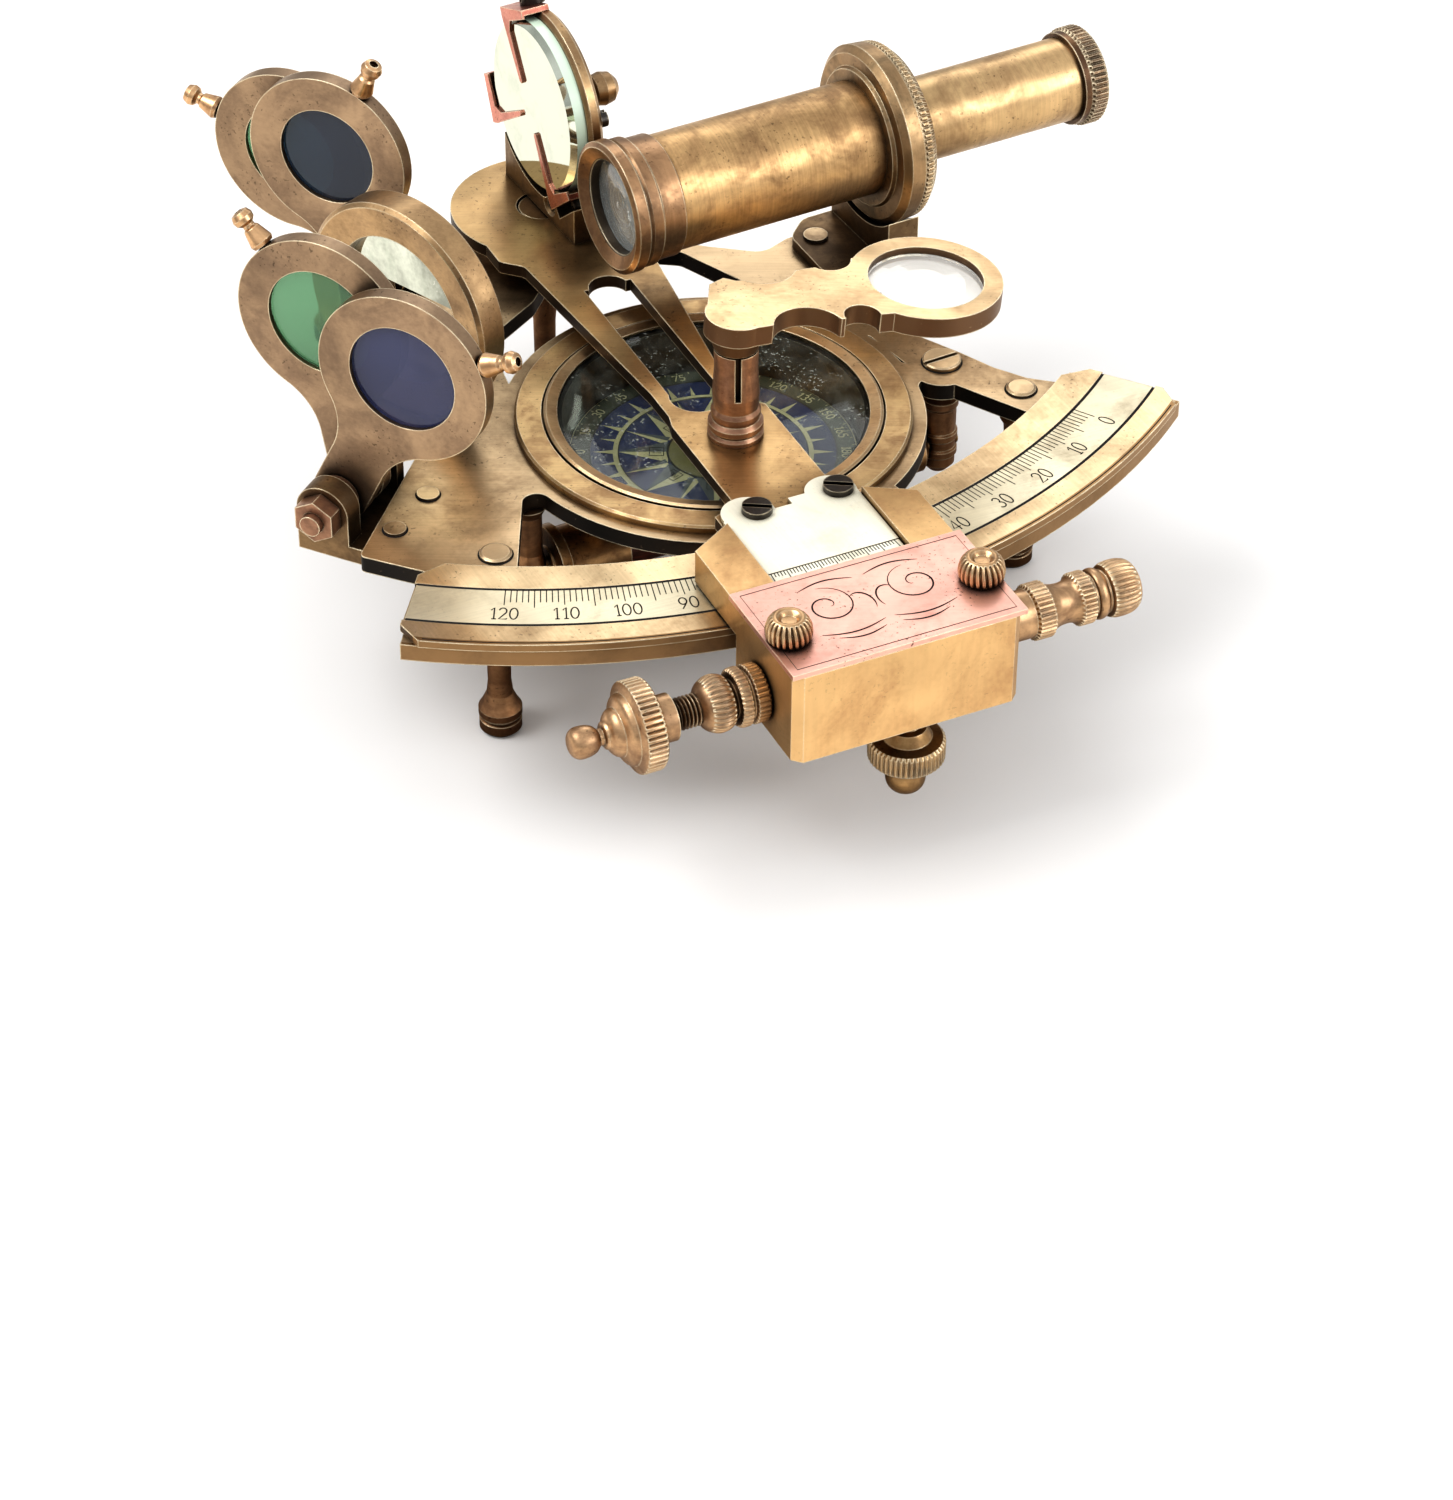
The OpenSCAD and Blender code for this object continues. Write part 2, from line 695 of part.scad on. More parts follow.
module front_green_plate() {
    color(dark_brass) front_leaned(front_green_lean)
        shade_plate(front_green_x, front_reach, front_head_r, front_glass_r, front_green_turn);
}

module front_green_glass() {
    color(green_glass) front_leaned(front_green_lean)
        shade_glass(front_green_x, front_reach, front_glass_r);
}

module front_green_knob() {
    color(brass) front_leaned(front_green_lean)
        shade_knob(front_green_x, front_reach, front_head_r, front_green_turn);
}

module back_blue_plate() {
    color(dark_brass) back_leaned(back_blue_lean)
        shade_plate(back_blue_x, back_reach, back_head_r, back_glass_r, back_blue_turn);
}

module back_blue_glass() {
    color(blue_glass) back_leaned(back_blue_lean)
        shade_glass(back_blue_x, back_reach, back_glass_r);
}

module back_blue_knob() {
    color(brass) back_leaned(back_blue_lean)
        shade_knob(back_blue_x, back_reach, back_head_r, back_blue_turn);
}

module back_green_plate() {
    color(dark_brass) back_leaned(back_green_lean)
        shade_plate(back_green_x, back_reach, back_head_r, back_glass_r, back_green_turn);
}

module back_green_glass() {
    color(green_glass) back_leaned(back_green_lean)
        shade_glass(back_green_x, back_reach, back_glass_r);
}

module back_green_knob() {
    color(brass) back_leaned(back_green_lean)
        shade_knob(back_green_x, back_reach, back_head_r, back_green_turn);
}

// A turned solid on the telescope's axis, its stations counted from the pivot line
module on_scope(points) {
    turned_along([0, -scope_y, scope_z], 0, points);
}

// A lens with two bulging faces
module lens(r, edge, bulge) {
    turned([[0, -bulge], [0.4 * r, -0.84 * bulge], [0.7 * r, -0.51 * bulge], [r, 0], [r, edge],
        [0.7 * r, edge + 0.51 * bulge], [0.4 * r, edge + 0.84 * bulge], [0, edge + bulge]]);
}

module on_scope_lens(r, x, edge, bulge) {
    translate([x, -scope_y, scope_z]) rotate([0, 90, 0]) lens(r, edge, bulge);
}

scope_end = 59.5;
guide_start = 48;

module scope_bracket() {
    foot_top = plate_top + 2;
    color(dark_brass) difference() {
        union() {
            slab(plate_top, foot_top) outline([[39.5, -41, 3.5], [52, -43, 1], [58, -43, 1],
                [58, -21.5, 1], [45, -21.5, 4], [40, -26, 4]]);
            translate([51.5, -43, plate_top]) cube([6.5, 21.5, 14]);
        }
        translate([0, -scope_y, scope_z]) rotate([0, 90, 0])
            cylinder(r = collar_r + 0.02, h = 90, $fn = 128);
        translate(rivet_at[2]) bar(rivet_pin_r + run_gap, plate_top - 1, foot_top + 1);
    }
}

module scope_collar() {
    x = collar_x;
    color(brass) on_scope([[tube_r, x - 4.2], [tube_r + 2.2, x - 4.2], [tube_r + 2.6, x - 3.4],
        [collar_r - 1.4, x - 3.4], [collar_r, x - 2.2], [collar_r - 0.4, x + 2.6],
        [collar_r - 1.8, x + 4], [tube_r + 2, x + 4], [tube_r + 1.6, x + 4.5],
        [tube_r, x + 4.5]]);
}

module scope_tube() {
    bore = 9.6;
    color(brass) on_scope([[bore, 6], [tube_r, 6], [tube_r, scope_end],
        [draw_r + run_gap, scope_end], [draw_r + run_gap, guide_start], [bore, guide_start - 1]]);
}

module objective_cell() {
    x = -2.4;
    r = objective_r;
    color(dark_brass) on_scope([[9, x + 1.4], [r - 1, x], [r, x + 0.6], [r, x + 2.8],
        [r - 0.7, x + 3.2], [r - 0.4, x + 3.8], [r - 0.4, x + 5.8], [r - 1, x + 6.2],
        [r - 1, x + 10.6], [r - 1.5, x + 11], [tube_r + run_gap, x + 11],
        [tube_r + run_gap, x + 8.3], [9, x + 8.3]]);
}

module objective_lens() {
    color(clear_glass) on_scope_lens(8.95, 0.8, 1.2, 0.7);
}

draw_start = 30;
draw_end = 97;

module draw_tube() {
    wall = 1.1;
    color(brass) on_scope([[draw_r - wall, draw_start], [draw_r, draw_start],
        [draw_r, draw_end], [draw_r - wall, draw_end]]);
}

module eyepiece_cap() {
    r = 9.6;
    hole = 4.4;
    color(dark_brass) on_scope([[draw_r, draw_end - 1], [draw_r + 0.9, draw_end - 1],
        [draw_r + 0.9, draw_end + 0.4], [r, draw_end + 0.8], [r, draw_end + 3.6],
        [r - 0.6, draw_end + 4.1], [hole + 1, draw_end + 4.1], [hole, draw_end + 3.4],
        [hole, draw_end + 2.6], [draw_r - 1.2, draw_end + 2.6], [draw_r - 1.2, draw_end],
        [draw_r, draw_end]]);
}

module eyepiece_lens() {
    color(clear_glass) on_scope_lens(6.8, draw_end + 0.7, 1, 0.6);
}

// Places a shape on the index arm: X runs out along the arm, Y across it
module on_arm() {
    rotate(arm_turn) children();
}

module arm_outline() {
    w = arm_waist;
    window_half = 4.7;
    difference() {
        union() {
            circle(arm_head_r, $fn = 96);
            outline([[6, -15.2, 0], [14.8, -15.2, 1.5], [18.3, -11.6, 2], [66, -w, 0],
                [74, -w, 1], [77, -8.3, 1], [block_in - 28.5, -8.3, 1], [block_in - 26.5, -wing_in, 0],
                [block_in, -wing_in, 0], [block_in, wing_in, 0], [block_in - 26.5, wing_in, 0],
                [block_in - 28.5, 10, 1],
                [77.6, 10, 1], [75.4, w, 1], [62, w, 0], [22, 12.4, 2], [19, 15.4, 1.5],
                [6, 15.4, 0]]);
        }
        translate([30.5, -window_half]) square([41.8, 2 * window_half]);
        translate([31.2, 0]) circle(3.8);
        translate([70.1, 0]) circle(5.2);
        circle(pivot_r + run_gap);
        for (s = screw_v) translate([screw_u, s]) circle(1.2 + run_gap);
        translate([post_u, post_v]) circle(post_pin_r + run_gap);
    }
}

post_pin_r = 2.2;
post_v = 1.2;
screw_u = block_in - 24;
screw_v = [-6.1, 9.7];

module index_arm() {
    head_deep = 1.4;
    color(brass) on_arm() difference() {
        slab(arm_low, arm_top) arm_outline();
        bar(pivot_r + 1.9, arm_top - head_deep, arm_top + 1);
    }
}

// The pin that the arm turns on, with the collar that holds the arm off the plate
module pivot_pin() {
    color(brass) turned([[0, plate_low], [pivot_r, plate_low], [pivot_r, plate_top],
        [8, plate_top], [8, arm_low], [pivot_r, arm_low], [pivot_r, arm_top - 1.1],
        [pivot_r + 1.5, arm_top - 1.1], [pivot_r + 1.5, arm_top - 0.3], [0, arm_top - 0.3]]);
}

ring_back = mirror_v + mirror_t + ring_t;
base_front = -1;
base_tall = 10;
ring_r_out = 18.5;

// Places a shape whose X axis is the index mirror's own axis, nearly across the arm
module at_mirror() {
    on_arm() rotate(mirror_skew + 90) translate([0, 0, index_z]) children();
}

module index_base() {
    near = 15.5;
    far = 13.4;
    low = arm_top - index_z;
    color(brass) at_mirror() difference() {
        translate([base_front, -near, low]) cube([ring_back + 3 - base_front, near + far, base_tall]);
        rotate([0, 90, 0])
            cylinder(r = ring_r_out + 0.02, h = 60, center = true, $fn = 128);
        translate([base_front + 1.6, -foot_screw_y, low + 3.4]) rotate([0, -90, 0])
            cylinder(r1 = 0.8, r2 = 2.6, h = 1.8);
        // room for the lowest clip and its screw
        rotate([-clips[2][0], 0, 0]) translate([-10, -5.2, ring_r_out - 1.2])
            cube([30, 10.4, 3.7]);
    }
}

foot_screw_y = 5.2;

// The ring behind the index mirror, with the boss and the round knob at its back
module index_ring() {
    rim = 0.9;
    boss = ring_back + 4.7;
    color(brass) at_mirror() rotate([0, 90, 0]) turned([[0, mirror_v + mirror_t],
        [ring_r_out - rim, mirror_v + mirror_t], [ring_r_out, mirror_v + mirror_t + 0.6],
        [ring_r_out, ring_back - 0.8], [ring_r_out - 0.8, ring_back], [13, ring_back],
        [7.5, boss - 1.4],
        [5.4, boss], [2.6, boss], [2.6, boss + 0.8], [1.9, boss + 1.2], [2.9, boss + 2.2],
        [3.3, boss + 4], [2.9, boss + 5.8], [1.7, boss + 6.9], [0, boss + 7.2]]);
}

module index_mirror() {
    r = index_glass_r;
    color(mirror_glass) at_mirror() rotate([0, 90, 0]) turned([[0, mirror_v], [r - 1.2, mirror_v],
        [r, mirror_v + 0.9], [r, mirror_v + mirror_t], [0, mirror_v + mirror_t]]);
}

// Turn of each clip from the top, and the side of it that its finger lies on
clips = [[22, 1], [112, 1], [-140, -1]];

// Thin clips that hold the mirror: a finger on the glass and a tab bent over the ring
module index_clips() {
    t = 0.5;
    tab = 4.8;
    out_r = ring_r_out + 0.05;
    finger = [[-tab, out_r + t], [-tab, out_r - 1.2], [1.4, 16.6], [2.4, 14.4], [1, 5], [1.6, 4.6],
        [2.1, 5], [4.2, 14.6], [tab, 17], [tab, out_r + t]];
    color(clip_red) at_mirror() for (c = clips) rotate([-c[0], 0, 0]) {
        along_x(mirror_v - t, mirror_v) polygon(c[1] > 0 ? finger
            : [for (i = [len(finger) - 1:-1:0]) [-finger[i][0], finger[i][1]]]);
        difference() {
            translate([mirror_v - t, -tab, out_r - 0.7])
                cube([ring_back - mirror_v + t - 0.8, 2 * tab, t + 0.7]);
            rotate([0, 90, 0]) cylinder(r = out_r, h = 40, center = true, $fn = 128);
        }
    }
}

// Slotted screws of the clips and the screw in the foot of the index mirror
module index_screws() {
    r = 2.4;
    color(steel) at_mirror() {
        for (c = clips) rotate([-c[0], 0, 0])
            translate([mirror_v + mirror_t + 1.2, 0, ring_r_out + 0.55]) difference() {
                bar(r, 0, 1.4);
                slot_cut(r, 1.4, 0.7, 0.7);
            }
        translate([ring_back, -15.6, 4]) rotate([0, 90, 0]) difference() {
            bar(1.6, 0, 1.5);
            slot_cut(1.6, 1.5, 0.6, 0.6);
        }
        translate([base_front + 1.5, -foot_screw_y, arm_top - index_z + 3.4]) rotate([0, -90, 0])
            cylinder(r1 = 0.8, r2 = 1.8, h = 1);
    }
}

module vernier_plate() {
    t = 0.8;
    h = vernier_half;
    near = screw_u + 0.5;
    far = block_in - 6.7;
    color(silvered) on_arm() difference() {
        slab(arm_top, arm_top + t) union() {
            polygon([[near, -h], [far, -h], [far, h], [near, h]]);
            translate([screw_u, screw_v[0] - 1.6]) circle(4.9);
            translate([screw_u, screw_v[1] - 1.4]) circle(4.7);
            translate([screw_u - 1.3, 0.5]) square([4, 4]);
        }
        translate([0, 0, arm_top - 1]) linear_extrude(t + 2) for (s = screw_v)
            translate([screw_u, s]) circle(1.2 + run_gap);
    }
}

module vernier_screws() {
    color(steel) on_arm() for (s = screw_v) translate([screw_u, s]) difference() {
        union() {
            bar(1.2, arm_low, arm_top + 0.8);
            bar(2.7, arm_top + 0.8, arm_top + 2);
        }
        rotate(60) slot_cut(2.7, arm_top + 2, 0.9, 0.8);
    }
}

module block_outline() {
    w = block_half;
    outline([[block_in, -w, 0], [block_out - 1.6, -w, 0], [block_out, -w + 1.6, 0],
        [block_out, w - 1.6, 0], [block_out - 1.6, w, 0], [block_in, w, 0]]);
}

// The casing at the end of the arm: a hollow block with two wings over the arc
module clamp_block() {
    w = block_half;
    wall = 2;
    color(brass) on_arm() difference() {
        union() {
            slab(block_low, block_top) block_outline();
            for (s = [-1, 1]) slab(wing_low, block_top)
                polygon([[block_in - 21.5, s * wing_in], [block_in, s * wing_in],
                    [block_in, s * w], [block_in - 16.5, s * w]]);
        }
        translate([block_in + wall, -cavity_half, block_low + wall])
            cube([block_out - block_in - 2 * wall, 2 * cavity_half, block_drop + 5 - wall]);
        translate([block_in - 1, -wing_in, block_low + wall]) cube([wall + 2, 2 * wing_in, 5]);
        translate([fine_u, 0, fine_z]) rotate([90, 0, 0])
            cylinder(r = fine_r + run_gap, h = 60, center = true);
        translate([clamp_u, clamp_v, block_low - 1]) {
            for (s = [-1, 1]) translate([0, 2.8 * s, 0]) cylinder(r = 2.9, h = wall + 2);
            translate([-2.9, -2.8, 0]) cube([5.8, 5.6, wall + 2]);
        }
        for (p = thumb_at) translate(p) bar(thumb_pin_r + run_gap, arc_top, block_top + 1);
    }
}

thumb_at = [[block_in + 13.4, -18.2], [block_in + 12.1, 18.9]];
thumb_pin_r = 1.3;

module block_cover() {
    over = 0.6;
    w = block_half + over;
    color(copper) on_arm() difference() {
        slab(block_top, block_top + 1)
            polygon([[block_in - 1.8, -w], [block_out, -w], [block_out, w], [block_in - 1.8, w]]);
        for (p = thumb_at) translate(p) bar(thumb_pin_r + run_gap, block_top - 1, block_top + 3);
    }
}

module cover_screws() {
    z = block_top + 1;
    color(brass) on_arm() for (p = thumb_at) translate(p)
        turned([[0, arc_top + 1], [thumb_pin_r, arc_top + 1], [thumb_pin_r, z], [3.4, z],
            [4.1, z + 0.8], [4.1, z + 2.6], [3.5, z + 4], [2.5, z + 4.7], [1.9, z + 4.5],
            [1.2, z + 3.8], [0, z + 3.7]]);
}

// The shoe that grips the arc from below and stays put while the fine screw moves the arm
module clamp_shoe() {
    half = 11.5;
    low = block_low + 2.7;
    color(dark_brass) on_arm() difference() {
        union() {
            translate([block_in + 3, -half, low]) cube([17.2, 2 * half, 11]);
            translate([block_in - 10.5, -9.5, low]) cube([14, 19, plate_low - clear_gap - low]);
        }
        translate([fine_u, 0, fine_z]) rotate([90, 0, 0])
            cylinder(r = fine_r + 0.35, h = 40, center = true);
        translate([clamp_u, clamp_v]) bar(clamp_pin_r + run_gap, low - 1, low + 7);
    }
}

clamp_pin_r = 2.3;

module clamp_screw() {
    z = arc_top - 21.2;
    r = clamp_head_r;
    color(brass) on_arm() translate([clamp_u, clamp_v]) turned([[0, z - 9.6], [1.6, z - 9.2],
        [3.2, z - 7.4], [3.6, z - 5.6], [2.9, z - 4.2], [2.6, z - 3.4], [4.6, z - 2.6],
        [r - 0.6, z - 2.2], [r, z - 1.6], [r, z + 1.6], [r - 0.6, z + 2.2], [4.4, z + 2.6],
        [3.4, z + 4.6], [clamp_pin_r, z + 5], [clamp_pin_r, block_low + 9], [0, block_low + 9]]);
}

// The fine screw runs right through the block and the shoe, with turned finger ends
module fine_screw() {
    w = block_half + 0.3;
    color(copper) on_arm() translate([fine_u, 0, fine_z]) rotate([-90, 0, 0])
        turned([[0, -57.2], [1.6, -56.8], [2.6, -55.4], [2.8, -54], [2.4, -52.6], [1.6, -51.6],
            [1.5, -50.8], [3.6, -49.8], [4, -48.4], [6.2, -47.6], [6.4, -46.6], [8.2, -46],
            [8.2, -42.4], [7.2, -42], [4.2, -41.6], [4.2, -38.4], [2.9, -38], [2.9, -33.6],
            [4, -32.8], [5, -31], [5.1, -30], [4.6, -28.2], [3.6, -27.4], [5.1, -27],
            [5.3, -26.6], [5.3, -25], [4.6, -24.8], [4.6, -24.4], [5.3, -24.2], [5.3, -w],
            [fine_r, -w], [fine_r, w], [4.4, w], [4.4, 29.4], [5.1, 29.8], [5.1, 32.8],
            [4.3, 33.3], [3.6, 35.6], [3.9, 38], [4.8, 38.6], [4.8, 41], [4, 41.4], [4, 41.8],
            [4.7, 42.2], [4.7, 43.6], [4, 44], [4, 44.4], [5.1, 44.9], [5.1, 48.6],
            [4.4, 50], [2.8, 50.6], [0, 50.8]]);
}

post_top = arc_top + 23.3;
spigot_r = 2.4;

// A split post that holds the magnifier's bracket
module magnifier_post() {
    color(copper) on_arm() translate([post_u, post_v]) difference() {
        turned([[0, arm_low], [post_pin_r, arm_low], [post_pin_r, arm_top], [5.05, arm_top],
            [5.05, arm_top + 0.8], [4.6, arm_top + 1.4], [5, arm_top + 2], [5, arm_top + 3],
            [4.3, arm_top + 3.8], [4.5, arm_top + 4.6], [4.5, arm_top + 5.4],
            [4.1, arm_top + 6.2], [4.25, arm_top + 9], [3.9, post_top - 4], [4, post_top],
            [spigot_r + run_gap, post_top], [spigot_r + run_gap, post_top - 13],
            [0, post_top - 13]]);
        rotate(-20) translate([-6, -0.5, post_top - 9]) cube([12, 1, 10]);
    }
}

bracket_tilt = 4.4;
bracket_top = arc_top + 30.5;
magnifier_turn = 3.2;

module magnifier_plan() {
    lens = [lens_reach, 0];
    difference() {
        union() {
            circle(5.6);
            translate(lens) circle(lens_ring_r, $fn = 96);
            polygon([[-4, 3.6], [-0.5, 10.2], [2.8, 11.4], [4.6, 9.8], [8, 9.2], [17.6, 9.6],
                [20, 9.4], [28, 10.2], [28, -9], [21, -8], [17, -7.6], [16, -6], [0, -5.4]]);
        }
        translate(lens) circle(lens_r, $fn = 96);
        translate([10.4, -8.2]) circle(6.4);
        translate([21, -7.6]) circle(3.3);
        translate([11, 13.2]) circle(6.2);
        translate([23.6, 11.6]) circle(4.2);
    }
}

// The scalloped bracket with its lens ring; a spigot turns in the split post
module magnifier_bracket() {
    t = 3.9;
    color(brass) on_arm() translate([post_u, post_v]) rotate(-arm_turn - magnifier_turn) {
        translate([0, 0, bracket_top]) rotate([0, bracket_tilt, 0]) slab(-t, 0) magnifier_plan();
        turned([[0, post_top - 12], [spigot_r, post_top - 12], [spigot_r, post_top + 0.3],
            [4, post_top + 0.3], [5.4, bracket_top - t + 0.6], [0, bracket_top - t + 0.6]]);
    }
}

module magnifier_lens() {
    color(clear_glass) on_arm() translate([post_u, post_v]) rotate(-arm_turn - magnifier_turn)
        translate([0, 0, bracket_top]) rotate([0, bracket_tilt, 0])
            translate([lens_reach, 0, -2.6]) lens(lens_r - 0.02, 1.2, 0.7);
}

frame_plate();
arc_layer();
scale_strip();
frame_rivets();
leg_left();
leg_right();
leg_rear();
handle_column();
handle_stud();
handle_ends();
handle_grip();
compass_bowl();
compass_bezel();
compass_glass();
compass_card();
horizon_foot();
horizon_ring();
horizon_glass();
front_bracket();
back_bracket();
shade_bolts();
shade_nuts();
front_blue_plate();
front_blue_glass();
front_blue_knob();
front_green_plate();
front_green_glass();
front_green_knob();
back_blue_plate();
back_blue_glass();
back_blue_knob();
back_green_plate();
back_green_glass();
back_green_knob();
scope_bracket();
scope_collar();
scope_tube();
objective_cell();
objective_lens();
draw_tube();
eyepiece_cap();
eyepiece_lens();
index_arm();
pivot_pin();
index_base();
index_ring();
index_mirror();
index_clips();
index_screws();
vernier_plate();
vernier_screws();
clamp_block();
block_cover();
cover_screws();
clamp_shoe();
clamp_screw();
fine_screw();
magnifier_post();
magnifier_bracket();
magnifier_lens();
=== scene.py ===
"""Finishes, engraved marks and milled screws for a small brass sextant with a compass in its frame.

The solids of the sextant are loaded first. Every brass, glass, copper, silvered and wooden piece gets its
finish, the scales and the compass card get their marks, and the milled screws are turned with their ribs.
Places and sizes are in millimetres and become metres where a piece or a node takes them.
"""
import math

import bpy
import numpy as np
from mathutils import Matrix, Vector


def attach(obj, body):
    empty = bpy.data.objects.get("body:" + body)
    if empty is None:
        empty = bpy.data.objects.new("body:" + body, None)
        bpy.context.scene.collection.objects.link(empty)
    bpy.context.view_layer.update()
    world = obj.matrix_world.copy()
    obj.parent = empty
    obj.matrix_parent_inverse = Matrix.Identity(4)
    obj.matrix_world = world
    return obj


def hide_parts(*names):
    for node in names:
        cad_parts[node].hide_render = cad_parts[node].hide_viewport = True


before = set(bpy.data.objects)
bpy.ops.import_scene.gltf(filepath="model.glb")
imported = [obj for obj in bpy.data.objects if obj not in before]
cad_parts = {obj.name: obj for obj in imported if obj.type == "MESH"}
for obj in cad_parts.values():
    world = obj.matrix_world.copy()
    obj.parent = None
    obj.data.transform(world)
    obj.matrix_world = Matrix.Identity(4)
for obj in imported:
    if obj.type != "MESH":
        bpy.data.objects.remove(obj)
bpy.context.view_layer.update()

bl_info = {
    "name": "Brass Sextant",
    "version": (1, 0, 0),
    "blender": (4, 5, 0),
    "location": "3D View > Sidebar > Sextant",
    "description": "Finishes, scales, compass print and milled screws for a small brass sextant",
    "category": "Object",
}

MM = 0.001
TURN = 2 * math.pi

# Axes of the shared frame, and those of the index arm: along it and across it
X_AXIS, Y_AXIS, UP = np.eye(3)
ARM_TURN = -93.25
ARM_OUT = np.array((math.cos(math.radians(ARM_TURN)), math.sin(math.radians(ARM_TURN)), 0.0))
ARM_SIDE = np.cross(UP, ARM_OUT)

# Places that the marks and turned pieces share with the solids
PLATE_TOP = 38.5
ARC_TOP = 40.0
COVER_TOP = ARC_TOP + 8.0
VERNIER_LOW, VERNIER_TOP = ARC_TOP + 5.02, ARC_TOP + 5.72
CARD_TOP = 30.1
COMPASS = np.array((0.0, -68.8, 0.0))
SCOPE_Y, SCOPE_Z = -31.6, 62.5
SCOPE_START = (0.0, SCOPE_Y, SCOPE_Z)
FINE_SCREW = ARM_OUT * 141.5 + UP * 35.6
CLAMP_SCREW = (-4.44, -146.985, 0.0)

# The arc's readings: the angle of zero, and two divisions for each degree that the arm turns
ZERO_ANGLE = -60.0
ARC_MIDDLE = -90.6
LAST_READING = 120
NORTH = 152.0


def tint(red, green, blue):
    """Linear colour of a display colour given in 0 to 255."""
    c = np.array((red, green, blue)) / 255.0
    lin = np.where(c <= 0.04045, c / 12.92, ((c + 0.055) / 1.055) ** 2.4)
    return tuple(round(float(v), 4) for v in lin)


def colour_setting(name, about, red, green, blue):
    """A colour property with its default given in 0 to 255."""
    return bpy.props.FloatVectorProperty(name=name, description=about, subtype="COLOR", size=3, min=0.0,
                                         max=1.0, default=tint(red, green, blue))


def length_setting(name, about, value, low, high):
    """A length property in metres."""
    return bpy.props.FloatProperty(name=name, description=about, subtype="DISTANCE", unit="LENGTH",
                                   precision=5, default=value * MM, min=low * MM, max=high * MM)


def light_setting(name, about, value, high, kind="POWER"):
    """The strength of a light: a power in watts, or a plain factor with kind NONE."""
    return bpy.props.FloatProperty(name=name, description=about, subtype=kind, unit=kind, default=value,
                                   min=0.0, max=high)


class SextantSizes(bpy.types.PropertyGroup):
    """Sizes of the engraved marks and of the milled ribs."""
    tick_width: length_setting("Tick width", "Width of one engraved line of the scales", 0.17, 0.05, 0.4)
    digit_height: length_setting("Number height", "Height of the numbers on the arc", 3.1, 1.5, 3.6)
    stroke_width: length_setting("Stroke width", "Width of the strokes of the numbers", 0.25, 0.1, 0.5)
    mark_lift: length_setting("Mark lift", "Height of the filled marks above the metal", 0.03, 0.01, 0.06)
    rib_depth: length_setting("Rib depth", "Depth of the grooves between milled ribs", 0.5, 0.1, 0.8)
    edge_width: length_setting("Rubbed edge", "Width of the rubbed edge of each brass piece", 0.4, 0.1, 1.0)


class SextantColours(bpy.types.PropertyGroup):
    """Colours of the metals, the glasses and the compass card."""
    gold_brass: colour_setting("Golden brass", "Yellower brass of the clamp block", 222, 184, 132)
    brown: colour_setting("Brown tarnish", "Brown film on the frame's brass", 112, 86, 60)
    # Worn edges, brightened to near white as a painted highlight
    rubbed: colour_setting("Rubbed brass", "Worn edges, brightened to near white as a painted highlight", 255, 240, 206)
    # Dark tarnish on plate edges and in specks; laid into hollows it is also painted shade
    patina: colour_setting("Black patina", "Film on the edges of plates, and painted shade in corners", 26, 23, 20)
    copper_brass: colour_setting("Reddish brass", "Magnifier post, bolts and nuts", 178, 136, 108)
    copper: colour_setting("Copper", "Pink copper of the cover", 234, 184, 168)
    clip: colour_setting("Clip copper", "Red copper of the clips on the index mirror", 212, 140, 122)
    silver: colour_setting("Silvering", "Cream silvering of the vernier", 252, 248, 228)
    scale: colour_setting("Scale", "Pale band that carries the divisions", 220, 210, 182)
    steel: colour_setting("Steel", "Dark slotted screws", 88, 84, 80)
    wax: colour_setting("Black wax", "Filling of the engraved marks", 22, 18, 16)
    green: colour_setting("Green glass", "Tint of the green shades", 124, 176, 138)
    blue: colour_setting("Blue glass", "Tint of the dark blue shades", 74, 82, 124)
    cream: colour_setting("Card cream", "Paper of the compass card", 206, 196, 156)
    card_blue: colour_setting("Card blue", "Dark blue print of the compass card", 40, 48, 92)
    wood: colour_setting("Grip wood", "Dark polished grip", 86, 40, 26)
    floor: colour_setting("Floor", "Plain pale floor", 236, 235, 234)


class SextantLight(bpy.types.PropertyGroup):
    """Strength of the studio light."""
    sky: light_setting("Room", "Brightness of the white room", 0.85, 4.0, "NONE")
    key: light_setting("Key", "Power of the main soft box", 5.5, 100.0)
    fill: light_setting("Fill", "Power of the soft box beside the camera", 3.0, 100.0)
    sheen: light_setting("Sheen", "Power of the soft box behind, which the flat plates show", 0.7, 100.0)


def shade(colour):
    """A plain linear colour from a setting's name or from a display colour in 0 to 255."""
    if isinstance(colour, str):
        return tuple(getattr(bpy.context.scene.sextant_colours, colour))
    return tint(*colour)


def size(name):
    """A size of the settings, in mm."""
    return getattr(bpy.context.scene.sextant_sizes, name) / MM


def darker(colour, share):
    """A plain colour with each part multiplied by a share."""
    return tuple(part * share for part in colour)


def opaque(colour):
    """A plain colour with its alpha; a node's socket stays as it is."""
    return colour if isinstance(colour, bpy.types.NodeSocket) else (*colour, 1.0)


